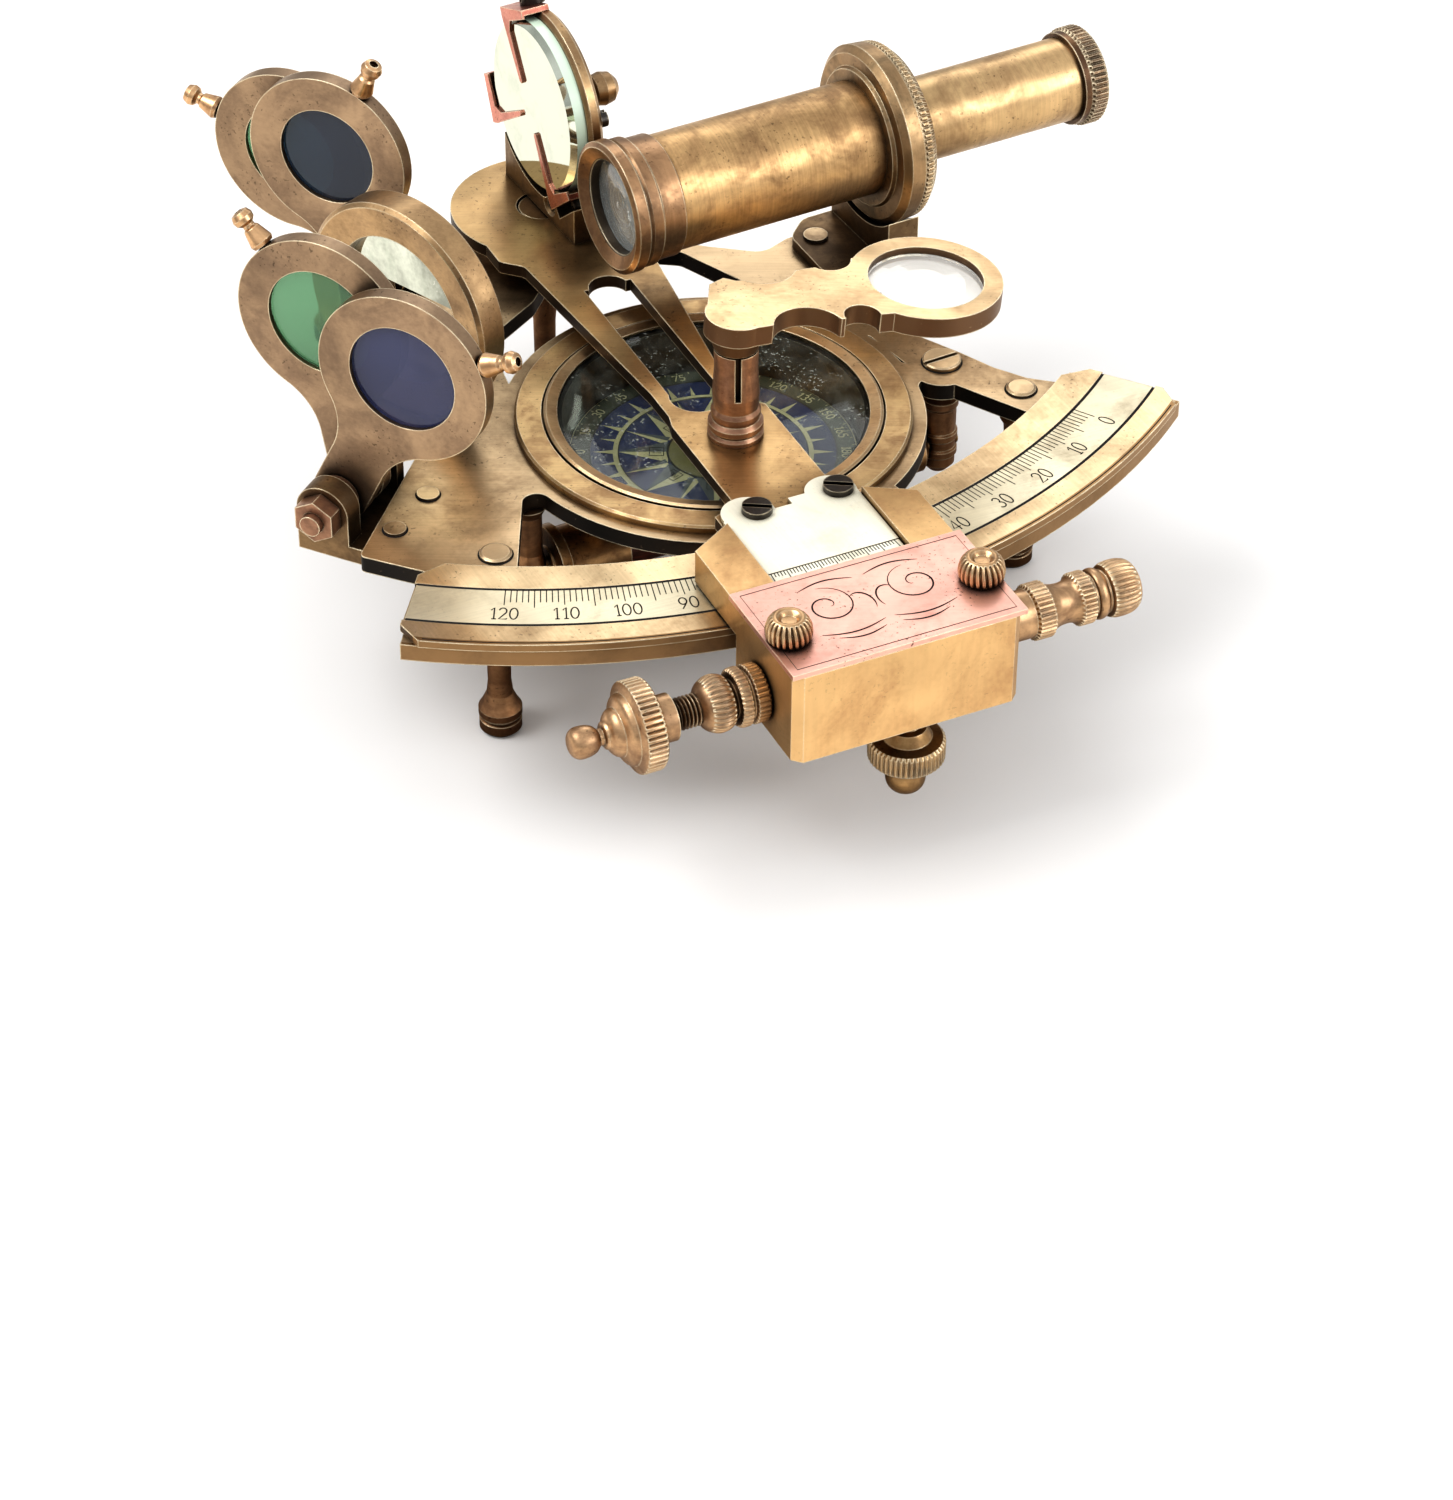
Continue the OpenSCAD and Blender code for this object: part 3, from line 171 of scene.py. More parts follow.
class Net:
    """Short words for building one node tree; a value is a plain one or another node's socket."""

    def __init__(self, tree, owner=None):
        self.tree = tree
        self.owner = owner

    def put(self, socket, value):
        """Links a socket to the input, or writes the plain value there."""
        if isinstance(value, bpy.types.NodeSocket):
            self.tree.links.new(value, socket)
        elif value is not None:
            socket.default_value = value

    def node(self, kind, inputs=None, **settings):
        """Adds a shader node with its settings and inputs, and gives its outputs."""
        made = self.tree.nodes.new(kind if kind.startswith("NodeGroup") else "ShaderNode" + kind)
        for key, value in settings.items():
            setattr(made, key, value)
        for key, value in (inputs or {}).items():
            self.put(made.inputs[key], value)
        return made.outputs

    def math(self, operation, *values, clamp=False):
        """One Math node."""
        return self.node("Math", dict(enumerate(values)), operation=operation, use_clamp=clamp)[0]

    def times(self, *factors):
        """The product of two or more values."""
        product = factors[0]
        for factor in factors[1:]:
            product = self.math("MULTIPLY", product, factor)
        return product

    def fused(self, a, b, c):
        """a times b plus c."""
        return self.math("MULTIPLY_ADD", a, b, c)

    def dot(self, a, b):
        """The dot product of two vectors."""
        return self.node("VectorMath", {0: a, 1: b}, operation="DOT_PRODUCT")["Value"]

    def place(self, kind="Object"):
        """The place on the surface in the object's own axes, or its direction with kind Normal."""
        return self.node("TexCoord")[kind]

    def apart(self, vector):
        """The X, Y and Z of a vector."""
        return self.node("SeparateXYZ", {0: vector})

    def grey(self, value):
        """A grey colour of one value."""
        return self.node("CombineColor", {0: value, 1: value, 2: value})[0]

    def mix(self, factor, a, b, how="MIX"):
        """Mixes two colours; 6, 7 and 2 are the Mix node's sockets for colours."""
        return self.node("Mix", {0: factor, 6: opaque(a), 7: opaque(b)}, data_type="RGBA", blend_type=how)[2]

    def span(self, value, low, high, to_low=0.0, to_high=1.0):
        """Maps low..high onto to_low..to_high with soft ends."""
        return self.node("MapRange", dict(enumerate((value, low, high, to_low, to_high))),
                         interpolation_type="SMOOTHSTEP")[0]

    def noise(self, place, scale, detail=4.0, roughness=0.55, bend=0.0):
        """Noise at a place in metres."""
        return self.node("TexNoise", {"Vector": place, "Scale": scale, "Detail": detail,
                                      "Roughness": roughness, "Distortion": bend})["Fac"]

    def openness(self, distance):
        """How much open space a point has round it."""
        return self.node("AmbientOcclusion", {"Distance": distance}, samples=6)["AO"]

    def bump(self, strength, distance, height, normal=None):
        """A direction bent by a height."""
        return self.node("Bump", {"Strength": strength, "Distance": distance, "Height": height,
                                  "Normal": normal})[0]

    def group(self, name, **inputs):
        """The outputs of a shared group, which is made when it is first used."""
        tree = bpy.data.node_groups.get(name) or SHARED_GROUPS[name](name)
        return self.node("Group", inputs, node_tree=tree)

    def principled(self, colour, rough, metal=0.0, **more):
        """The Principled shader; an underscore stands for a space in the names of further inputs."""
        inputs = {"Base Color": opaque(colour), "Roughness": rough, "Metallic": metal}
        inputs.update((key.replace("_", " "), value) for key, value in more.items())
        return self.node("BsdfPrincipled", inputs)[0]

    def blend(self, factor, first, second):
        """Mixes two shaders."""
        return self.node("MixShader", {0: factor, 1: first, 2: second})[0]

    def shown(self, shader, output="OutputMaterial"):
        """Ends the tree with its output, and gives the material or world that owns it."""
        self.node(output, {"Surface": shader})
        return self.owner


def new_group(name, inputs, outputs):
    """An empty shader group: its net and what it is given; a socket has the kind of its default."""
    tree = bpy.data.node_groups.new(name, "ShaderNodeTree")
    for way, sockets in (("INPUT", inputs), ("OUTPUT", outputs)):
        for label, value in sockets.items():
            kind = "NodeSocketVector" if isinstance(value, tuple) else "NodeSocketFloat"
            tree.interface.new_socket(label, in_out=way, socket_type=kind).default_value = value
    net = Net(tree)
    return net, net.node("NodeGroupInput")


# Scales of the noises of the metal, per metre
FINE_GRAIN, SPECK_GRAIN, PATCH_GRAIN, CLOUD_GRAIN = 900.0, 1500.0, 130.0, 38.0
WEAR_GRAIN, DIRT_AND_SHADE_GRAIN = 260.0, 150.0


def tarnish_group(name):
    """Blotches of film and fine specks: two noises of the object's own place, cut at a level."""
    net, given = new_group(name, {"Size": 0.012, "Cover": 0.5, "Shift": (0.0, 0.0, 0.0)},
                           {"Blotch": 0.0, "Specks": 0.0, "Grain": 0.0, "Cloud": 0.0})
    place = net.node("VectorMath", {0: net.place(), 1: given["Shift"]}, operation="ADD")[0]
    wide = net.noise(place, net.math("DIVIDE", 1.0, given["Size"]), 5.0, 0.62, 0.6)
    fine = net.noise(place, FINE_GRAIN, 3.0, 0.6)
    film = net.fused(fine, 0.18, net.times(wide, 0.91))
    level = net.math("SUBTRACT", 0.86, net.times(given["Cover"], 0.62))
    dots = net.span(net.noise(place, SPECK_GRAIN, 2.0, 0.5), 0.62, 0.7)
    patches = net.span(net.noise(place, PATCH_GRAIN, 2.0, 0.5), 0.44, 0.6)
    blotch = net.span(film, net.math("SUBTRACT", level, 0.17), net.math("ADD", level, 0.19))
    net.node("NodeGroupOutput", {"Blotch": blotch, "Specks": net.times(dots, patches), "Grain": fine,
                                 "Cloud": net.noise(place, CLOUD_GRAIN, 2.0, 0.5)})
    return net.tree


def edge_group(name):
    """Worn edges, brightened as a painted highlight: one minus the cosine between the face and the rounded
    face, faded in hollows; with masks of hollows and of sheltered places, which are darkened as tarnish,
    dirt and painted shade.
    """
    net, given = new_group(name, {"Width": 0.0004, "Strength": 1.0},
                           {"Rubbed": 0.0, "Hollow": 0.0, "Dirt": 0.0, "Round": (0.0, 0.0, 0.0)})
    soft = net.node("Bevel", {"Radius": given["Width"]}, samples=6)[0]
    cosine = net.dot(soft, net.node("NewGeometry")["True Normal"])
    bend = net.span(net.math("SUBTRACT", 1.0, cosine), 0.008, 0.11)
    # Open space round each point; darkening where it is shut in is painted shade
    near_sky, wide_sky = net.openness(0.003), net.openness(0.014)
    worn = net.span(net.noise(net.place(), WEAR_GRAIN, 3.0, 0.6), 0.3, 0.6, 0.55, 1.0)
    # Worn edges; brightened later as a painted highlight
    rubbed = net.times(bend, net.span(near_sky, 0.55, 0.85), worn)
    blur = net.span(net.noise(net.place(), DIRT_AND_SHADE_GRAIN, 4.0, 0.65), 0.3, 0.65, 0.4, 1.0)
    rounded = net.node("Bevel", {"Radius": net.times(given["Width"], 0.6)}, samples=4)[0]
    # Hollows and sheltered places: masks for painted shade, laid on as dark tarnish and dirt
    net.node("NodeGroupOutput", {"Rubbed": net.math("MULTIPLY", rubbed, given["Strength"], clamp=True),
                                 "Hollow": net.span(near_sky, 0.72, 0.3),
                                 "Dirt": net.times(net.span(wide_sky, 0.95, 0.45), blur), "Round": rounded})
    return net.tree


def polish_group(name):
    """Fine hand polishing: a noise stretched along one direction."""
    net, given = new_group(name, {"Along": (60.0, 2600.0, 2600.0), "Turn": (0.0, 0.0, 0.4)}, {"Lines": 0.0})
    turned_place = net.node("VectorRotate", {"Vector": net.place(), "Rotation": given["Turn"]},
                            rotation_type="EULER_XYZ")[0]
    drawn = net.node("VectorMath", {0: turned_place, 1: given["Along"]}, operation="MULTIPLY")[0]
    net.node("NodeGroupOutput", {"Lines": net.noise(drawn, 1.0, 3.0, 0.6)})
    return net.tree


SHARED_GROUPS = {"Tarnish Blotches": tarnish_group, "Rubbed Edges": edge_group,
                 "Polishing Lines": polish_group}


def new_net(owner):
    """The empty net of a new material or world."""
    owner.use_nodes = True
    owner.node_tree.nodes.clear()
    return Net(owner.node_tree, owner)


def region(net, kind, *values):
    """Mask of a region: (tube, axis, its two coordinates, radius), (beyond, radius) or (above, height)."""
    place = net.apart(net.place())
    if kind == "above":
        return net.math("GREATER_THAN", place["Z"], values[0] * MM)
    if kind == "beyond":
        radius = values[0]
        middle = {"X": 0.0, "Y": 0.0}
    else:
        axis, a, b, radius = values
        middle = dict(zip([letter for letter in "XYZ" if letter != axis], (a, b)))
    da, db = (net.math("SUBTRACT", place[letter], value * MM) for letter, value in middle.items())
    reach = net.math("SQRT", net.fused(da, da, net.times(db, db)))
    return net.math("GREATER_THAN" if kind == "beyond" else "LESS_THAN", reach, radius * MM)


# Polishing lines: how fine the noise is along X, Y and Z, per metre, and how its axes are turned
LINES_PLAIN = ((70.0, 2200.0, 2200.0), (0.0, 0.0, 0.5))
LINES_SCALE = ((60.0, 2600.0, 2600.0), (0.0, 0.0, 0.1))
LINES_ACROSS = ((2200.0, 70.0, 2200.0), (0.0, 0.0, 0.0))
LINES_TUBE = ((2400.0, 90.0, 90.0), (0.0, 0.0, 0.0))
LINES_UPRIGHT = ((900.0, 900.0, 60.0), (0.0, 0.0, 0.0))
LINES_WOOD = ((90.0, 1400.0, 1400.0), (0.0, 0.0, 0.0))


def brass_finish(name, clean, film, cover, blotch, rough, sides=None, lines=LINES_PLAIN, shift=0.0,
                 edge=1.0, specks=0.5, depth=0.75, streak=0.07, metal=1.0, parts=()):
    """Aged metal: a clean colour under a film in blotches, worn edges brightened as a painted highlight,
    hollows and sheltered places darkened with tarnish, dirt and painted shade, and polishing lines.

    cover: how much of the surface the film takes. blotch: the size of its blotches, in metres.
    sides: colour of faces that stand upright, for flat plates whose edges were left dark.
    depth: how far the film hides the clean colour. streak: how strong the polishing lines show.
    parts: (region, colour, metallic share) of areas with a colour of their own.
    """
    net = new_net(bpy.data.materials.new(name))
    clean, film, patina = shade(clean), shade(film), shade("patina")
    marks = net.group("Tarnish Blotches", Size=blotch, Cover=cover, Shift=(shift, shift * 0.7, -shift))
    edges = net.group("Rubbed Edges", Width=size("edge_width") * MM, Strength=edge)
    along, turn = lines
    polish = net.group("Polishing Lines", Along=along, Turn=turn)["Lines"]
    grain, rubbed = marks["Grain"], edges["Rubbed"]
    blotches = net.times(marks["Blotch"], depth)
    light = net.times(net.span(polish, 0.3, 0.7, 1.0 - streak, 1.0 + streak * 0.7),
                      net.span(marks["Cloud"], 0.3, 0.7, 0.84, 1.1))
    colour = net.mix(1.0, net.mix(blotches, clean, film), net.grey(light), "MULTIPLY")
    colour = net.mix(net.times(marks["Specks"], specks), colour, patina)
    film_rough = net.span(blotches, 0.0, 1.0, rough, rough + 0.14)
    metallic = net.span(blotches, 0.0, 1.0, metal, metal * 0.85)
    if sides is not None:
        upright = net.apart(net.place("Normal"))["Z"]
        mask = net.span(net.math("ABSOLUTE", upright), 0.75, 0.35)
        worn_side = net.mix(net.span(grain, 0.66, 0.84), shade(sides), darker(clean, 0.6))
        colour = net.mix(mask, colour, worn_side)
        metallic = net.times(metallic, net.span(mask, 0.0, 1.0, 1.0, 0.7))
        film_rough = net.fused(mask, 0.1, film_rough)
    for area, own, share in parts:
        mask = region(net, *area)
        own_film = net.mix(net.times(blotches, 0.6), shade(own), darker(shade(own), 0.45))
        colour = net.mix(mask, colour, own_film)
        metallic = net.times(metallic, net.fused(mask, share - 1.0, 1.0))
    # Sheltered places darkened towards the film: dirt and painted shade
    colour = net.mix(net.times(edges["Dirt"], 0.62), colour, darker(film, 0.4))
    # Hollows blackened: dark tarnish and painted shade
    colour = net.mix(net.times(edges["Hollow"], 0.85), colour, patina)
    # Worn edges lightened: wear and a painted highlight
    colour = net.mix(rubbed, colour, shade("rubbed"))
    metallic = net.times(metallic, net.fused(rubbed, -0.4, 1.0))
    roughness = net.math("ADD", net.fused(grain, 0.08, film_rough), net.times(rubbed, -0.1))
    height = net.math("ADD", net.times(polish, 0.25), net.fused(grain, 0.3, net.times(blotches, -0.5)))
    wave = net.bump(1.0, 0.0022, marks["Cloud"], edges["Round"])
    fine = net.bump(0.15, 0.00008, height, wave)
    return net.shown(net.principled(colour, roughness, metallic, Normal=fine))


def glass_finish(name, colour, haze=0.02, dust=0.0, ior=1.45, body_share=0.0, body_colour=None):
    """Clear or tinted glass: bends light for the eye and lets shadows and soft light straight through.

    body_share: how much of a milky body colour it shows: on the shades their own tint, on the clear lenses a
    painted pale reflection.
    """
    net = new_net(bpy.data.materials.new(name))
    marks = net.group("Tarnish Blotches", Size=0.004, Cover=0.45)
    rough = net.span(marks["Blotch"], 0.0, 1.0, haze, haze + 0.05)
    body = net.principled(colour, rough, Transmission_Weight=1.0, IOR=ior)
    path = net.node("LightPath")
    passing = net.math("MAXIMUM", path["Is Shadow Ray"], path["Is Diffuse Ray"])
    clear = net.node("BsdfTransparent", {"Color": opaque([part ** 0.5 for part in colour])})[0]
    shown = net.blend(passing, body, clear)
    if body_share:
        # Milky colour: the shades' own tint, and on the clear lenses a painted reflection
        milk_and_reflection = net.principled(shade(body_colour), 0.12)
        milk_and_reflection_share = net.span(marks["Cloud"], 0.3, 0.7, body_share * 0.7, min(body_share * 1.3, 1.0))
        shown = net.blend(milk_and_reflection_share, shown, milk_and_reflection)
    if dust:
        film = net.principled((0.42, 0.44, 0.4), 0.8)
        amount = net.fused(marks["Specks"], 2.2, net.times(marks["Blotch"], 0.2))
        shown = net.blend(net.math("MULTIPLY", amount, dust, clamp=True), shown, film)
    return net.shown(shown)


def mirror_finish(name, face, edge_colour, spoilt=0.0):
    """Silvered glass: a bright face square to one direction, and a pale green ground edge round it.

    spoilt: how dark the patches are where the silver has gone.
    """
    net = new_net(bpy.data.materials.new(name))
    rim = net.span(net.math("ABSOLUTE", net.dot(net.place("Normal"), face)), 0.85, 0.6)
    marks = net.group("Tarnish Blotches", Size=0.006, Cover=0.3)
    colour = net.mix(marks["Blotch"], tint(226, 232, 218), tint(202, 212, 196))
    if spoilt:
        gone = net.group("Tarnish Blotches", Size=0.016, Cover=0.55, Shift=(0.013, 0.0, 0.004))["Blotch"]
        colour = net.mix(net.times(gone, spoilt), colour, tint(78, 80, 72))
        colour = net.mix(net.times(marks["Specks"], 0.7), colour, tint(236, 236, 226))
    colour = net.mix(rim, colour, tint(*edge_colour))
    rough, metallic = net.span(rim, 0.0, 1.0, 0.03, 0.25), net.span(rim, 0.0, 1.0, 1.0, 0.0)
    return net.shown(net.principled(colour, rough, metallic))


def flat_finish(name, colour, rough=0.6, speck=0.3, shift=0.0):
    """Plain filled or painted surface with a faint mottle."""
    net = new_net(bpy.data.materials.new(name))
    marks = net.group("Tarnish Blotches", Size=0.005, Cover=0.4, Shift=(shift, shift, shift))
    shown = net.mix(net.times(marks["Blotch"], speck), shade(colour), darker(shade(colour), 0.55))
    return net.shown(net.principled(shown, rough, Normal=net.bump(0.2, 0.00004, marks["Grain"])))


def wood_finish(name, colour):
    """Dark polished hardwood: long bands of grain along X."""
    net = new_net(bpy.data.materials.new(name))
    along, turn = LINES_WOOD
    grain = net.group("Polishing Lines", Along=along, Turn=turn)["Lines"]
    shown = net.mix(net.span(grain, 0.35, 0.65), darker(shade(colour), 0.35), shade(colour))
    return net.shown(net.principled(shown, 0.3, Coat_Weight=0.4))


def dress(material, *nodes):
    """Gives one finish to some of the solids."""
    for name in nodes:
        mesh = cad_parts[name].data
        mesh.materials.clear()
        mesh.materials.append(material)


def new_piece(name, points, faces, material, body, smooth=False):
    """A mesh object in the shared frame from points in mm, riding on one body."""
    mesh = bpy.data.meshes.new(name)
    mesh.from_pydata((np.asarray(points, float) * MM).tolist(), [], [list(map(int, f)) for f in faces])
    mesh.update()
    if smooth:
        mesh.shade_smooth()
        mesh.set_sharp_from_angle(angle=math.radians(32))
    mesh.materials.append(material)
    made = bpy.data.objects.new(name, mesh)
    bpy.context.scene.collection.objects.link(made)
    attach(made, body)
    return made


def rays(degrees):
    """Unit directions on the flat at some angles, a row each."""
    a = np.radians(np.asarray(degrees, float))
    return np.stack((np.cos(a), np.sin(a)), -1)


def square_to(flat):
    """Flat directions turned a quarter to the left."""
    return np.stack((-flat[..., 1], flat[..., 0]), -1)


def ribbons(lines, width, swelling=False):
    """Flat strips along flat polylines: each point p gives p + n w/2 and p - n w/2, n square to the run.

    A swelling line is widest in its middle and runs out to points: w sin(pi t)^0.6 along its length.
    """
    points, faces, start = [], [], 0
    for line in lines:
        p = np.asarray(line, float)
        closed = bool(np.allclose(p[0], p[-1])) and len(p) > 3
        run = np.gradient(p, axis=0)
        if closed:
            run[0] = run[-1] = (p[1] - p[-2]) / 2
        run /= np.maximum(np.linalg.norm(run, axis=1, keepdims=True), 1e-9)
        across = square_to(run) * width / 2
        if swelling:
            across *= (np.sin(np.linspace(0.02, math.pi - 0.02, len(p))) ** 0.6)[:, None]
        points.append(np.stack((p - across, p + across), 1).reshape(-1, 2))
        k = start + 2 * np.arange(len(p) - 1)
        faces.append(np.stack((k, k + 2, k + 3, k + 1), 1))
        start += 2 * len(p)
    return np.concatenate(points), np.concatenate(faces)


def spokes(inner, outer, degrees, width):
    """Flat bars between two radii at many angles: inner..outer along the ray, +- width/2 across."""
    ray = rays(degrees)
    side = square_to(ray) * width / 2
    inner, outer = (np.broadcast_to(radius, len(ray))[:, None] for radius in (inner, outer))
    points = np.stack((ray * inner - side, ray * outer - side, ray * outer + side, ray * inner + side), 1)
    return points.reshape(-1, 2), np.arange(4 * len(ray)).reshape(-1, 4)


def band_faces(steps):
    """Faces between two closed rows of points that follow each other."""
    k = np.arange(steps)
    after = np.roll(k, -1)
    return np.stack((k, k + steps, after + steps, after), 1)


def ring(inner, outer, steps=96, centre=(0.0, 0.0)):
    """A flat ring between two radii."""
    ray = rays(np.linspace(0.0, 360.0, steps, endpoint=False))
    return np.concatenate((ray * inner, ray * outer)) + centre, band_faces(steps)


def wedge(root, half_width, tip):
    """A flat triangle from a root point, with its two corners beside it, to a tip."""
    return np.stack((root + half_width, root - half_width, tip)), [[0, 1, 2]]


def marked(name, parts, height, material, body, centre=np.zeros(3), axes=(X_AXIS, Y_AXIS)):
    """Flat parts as one piece at a height: point (u, v) goes to centre + u first axis + v second axis."""
    points, faces, start = [], [], 0
    for p, f in parts:
        points.append(p)
        faces.extend((np.asarray(f) + start).tolist())
        start += len(p)
    flat = np.concatenate(points)
    return new_piece(name, centre + UP * height + flat @ np.stack(axes), faces, material, body)


def arc_line(cx, cy, rx, ry, start, end, steps=10):
    """Points of an ellipse arc, angles in degrees."""
    return np.array((cx, cy)) + rays(np.linspace(start, end, steps)) * (rx, ry)


def join(*parts):
    """One polyline from several."""
    return np.concatenate([np.atleast_2d(np.asarray(p, float)) for p in parts])


# Stroke lines of each mark, on a height of 1
GLYPHS = {
    "0": [arc_line(0.3, 0.5, 0.28, 0.5, 90, 450, 21)],
    "1": [join((0.1, 0.78), (0.32, 1.0), (0.32, 0.0)), join((0.16, 0.0), (0.48, 0.0))],
    "2": [join(arc_line(0.3, 0.72, 0.26, 0.28, 165, -35), (0.03, 0.0), (0.58, 0.0), (0.58, 0.08))],
    "3": [join(arc_line(0.28, 0.75, 0.24, 0.25, 150, -75, 9), arc_line(0.28, 0.26, 0.28, 0.26, 75, -150))],
    "4": [join((0.44, 0.0), (0.44, 1.0), (0.02, 0.3), (0.6, 0.3))],
    "5": [join((0.54, 1.0), (0.12, 1.0), (0.09, 0.56), arc_line(0.28, 0.31, 0.28, 0.31, 115, -150, 12))],
    "6": [join((0.46, 1.0), (0.16, 0.6), arc_line(0.3, 0.3, 0.27, 0.3, 160, 520, 19))],
    "7": [join((0.04, 0.9), (0.04, 1.0), (0.58, 1.0), (0.2, 0.0))],
    "8": [arc_line(0.3, 0.76, 0.22, 0.24, 90, 450, 15), arc_line(0.3, 0.27, 0.28, 0.27, 90, 450, 17)],
    "9": [join((0.14, 0.0), (0.44, 0.4), arc_line(0.3, 0.7, 0.27, 0.3, -20, 340, 19))],
    "N": [join((0.05, 0.0), (0.05, 1.0), (0.6, 0.0), (0.6, 1.0))],
    "E": [join((0.6, 0.0), (0.08, 0.0), (0.08, 1.0), (0.6, 1.0)), join((0.08, 0.52), (0.48, 0.52))],
    "S": [join(arc_line(0.3, 0.75, 0.25, 0.25, 30, 270), arc_line(0.3, 0.25, 0.27, 0.25, 90, -150))],
    "W": [join((0.0, 1.0), (0.2, 0.0), (0.38, 0.8), (0.56, 0.0), (0.76, 1.0))],
}
PLAIN_WIDTH, WIDTHS, LETTER_GAP = 0.76, {"W": 0.95, "1": 0.62}, 0.2


def word(text, height, centre, right, up, narrow=1.0):
    """Stroke lines of a word, centred on a point, with its own right and up directions on the flat."""
    steps = np.array([WIDTHS.get(mark, PLAIN_WIDTH) for mark in text]) * narrow
    starts = np.concatenate(((0.0,), np.cumsum(steps)[:-1])) - (steps.sum() - LETTER_GAP) / 2
    lines = []
    for mark, start in zip(text, starts):
        for stroke in GLYPHS[mark]:
            along, high = stroke[:, :1] * narrow + start, stroke[:, 1:] - 0.5
            lines.append(centre + height * (along * right + high * up))
    return lines


def softened(profile, rounds=2):
    """Corner cutting on the points marked soft: each gives points at 1/4 and 3/4 of its two sides."""
    rows = [(p[0], p[1], len(p) > 2) for p in profile]
    for _ in range(rounds):
        cut = []
        for a, b in zip(rows[:-1], rows[1:]):
            cut.append((a[0] * 0.75 + b[0] * 0.25, a[1] * 0.75 + b[1] * 0.25, True) if a[2] else a)
            if b[2]:
                cut.append((a[0] * 0.25 + b[0] * 0.75, a[1] * 0.25 + b[1] * 0.75, True))
        cut.append(rows[-1])
        rows = cut
    return np.array([(r, s) for r, s, _ in rows])


def turned(name, profile, bands, base, axis, material, body, replaced=(), sides=240):
    """A turned piece with milled bands; a third value in a point of its profile marks it soft.

    Point at station s and angle t: base + axis s + (r(s) - d w(t, s)) (side cos t + other sin t), with
    w = (1/2 - 1/2 cos(n t + k s))^2 inside a band, else 0. A band is its first and last station, the least
    radius that it works on, its depth d, its number of ribs n and their slant k.
    """
    rows = softened(profile)
    radius, station = rows[:, :1], rows[:, 1:]
    t = np.linspace(0.0, TURN, sides, endpoint=False)
    side = np.cross(axis, (0.3, 0.5, 0.81))
    side /= np.linalg.norm(side)
    other = np.cross(axis, side)
    reach = np.repeat(radius, sides, 1)
    for low, high, least, depth, ribs, slant in bands:
        within = (station > low - 1e-6) & (station < high + 1e-6) & (radius > least)
        reach -= within * depth * (0.5 - 0.5 * np.cos(ribs * t + slant * (station - low))) ** 2
    reach = np.maximum(reach, 0.0)
    points = (np.asarray(base) + station[:, :, None] * np.asarray(axis, float)
              + reach[..., None] * (np.cos(t)[:, None] * side + np.sin(t)[:, None] * other)).reshape(-1, 3)
    quads = band_faces(sides)
    faces = []
    for k in range(len(rows) - 1):
        band = quads + k * sides
        if radius[k, 0] < 1e-6:
            faces.append(np.stack((np.full(sides, k * sides), band[:, 2], band[:, 1]), 1))
        elif radius[k + 1, 0] < 1e-6:
            faces.append(np.stack((band[:, 0], band[:, 3], np.full(sides, (k + 1) * sides)), 1))
        else:
            faces.append(band[:, (0, 3, 2, 1)])
    used = np.zeros(len(points), bool)
    for group in faces:
        used[group.ravel()] = True
    renumber = np.cumsum(used) - 1
    flat = [face for group in faces for face in renumber[group].tolist()]
    made = new_piece(name, points[used], flat, material, body, smooth=True)
    if replaced:
        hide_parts(*replaced)
    return made


PLATE_BRASS = (204, 178, 142)
BLACK = (22, 21, 20)
DARK_RIM = (("beyond", 129.6), (150, 118, 80), 1.0)


def bore(radius):
    """The inside of the telescope up to a radius."""
    return ("tube", "X", SCOPE_Y, SCOPE_Z, radius)


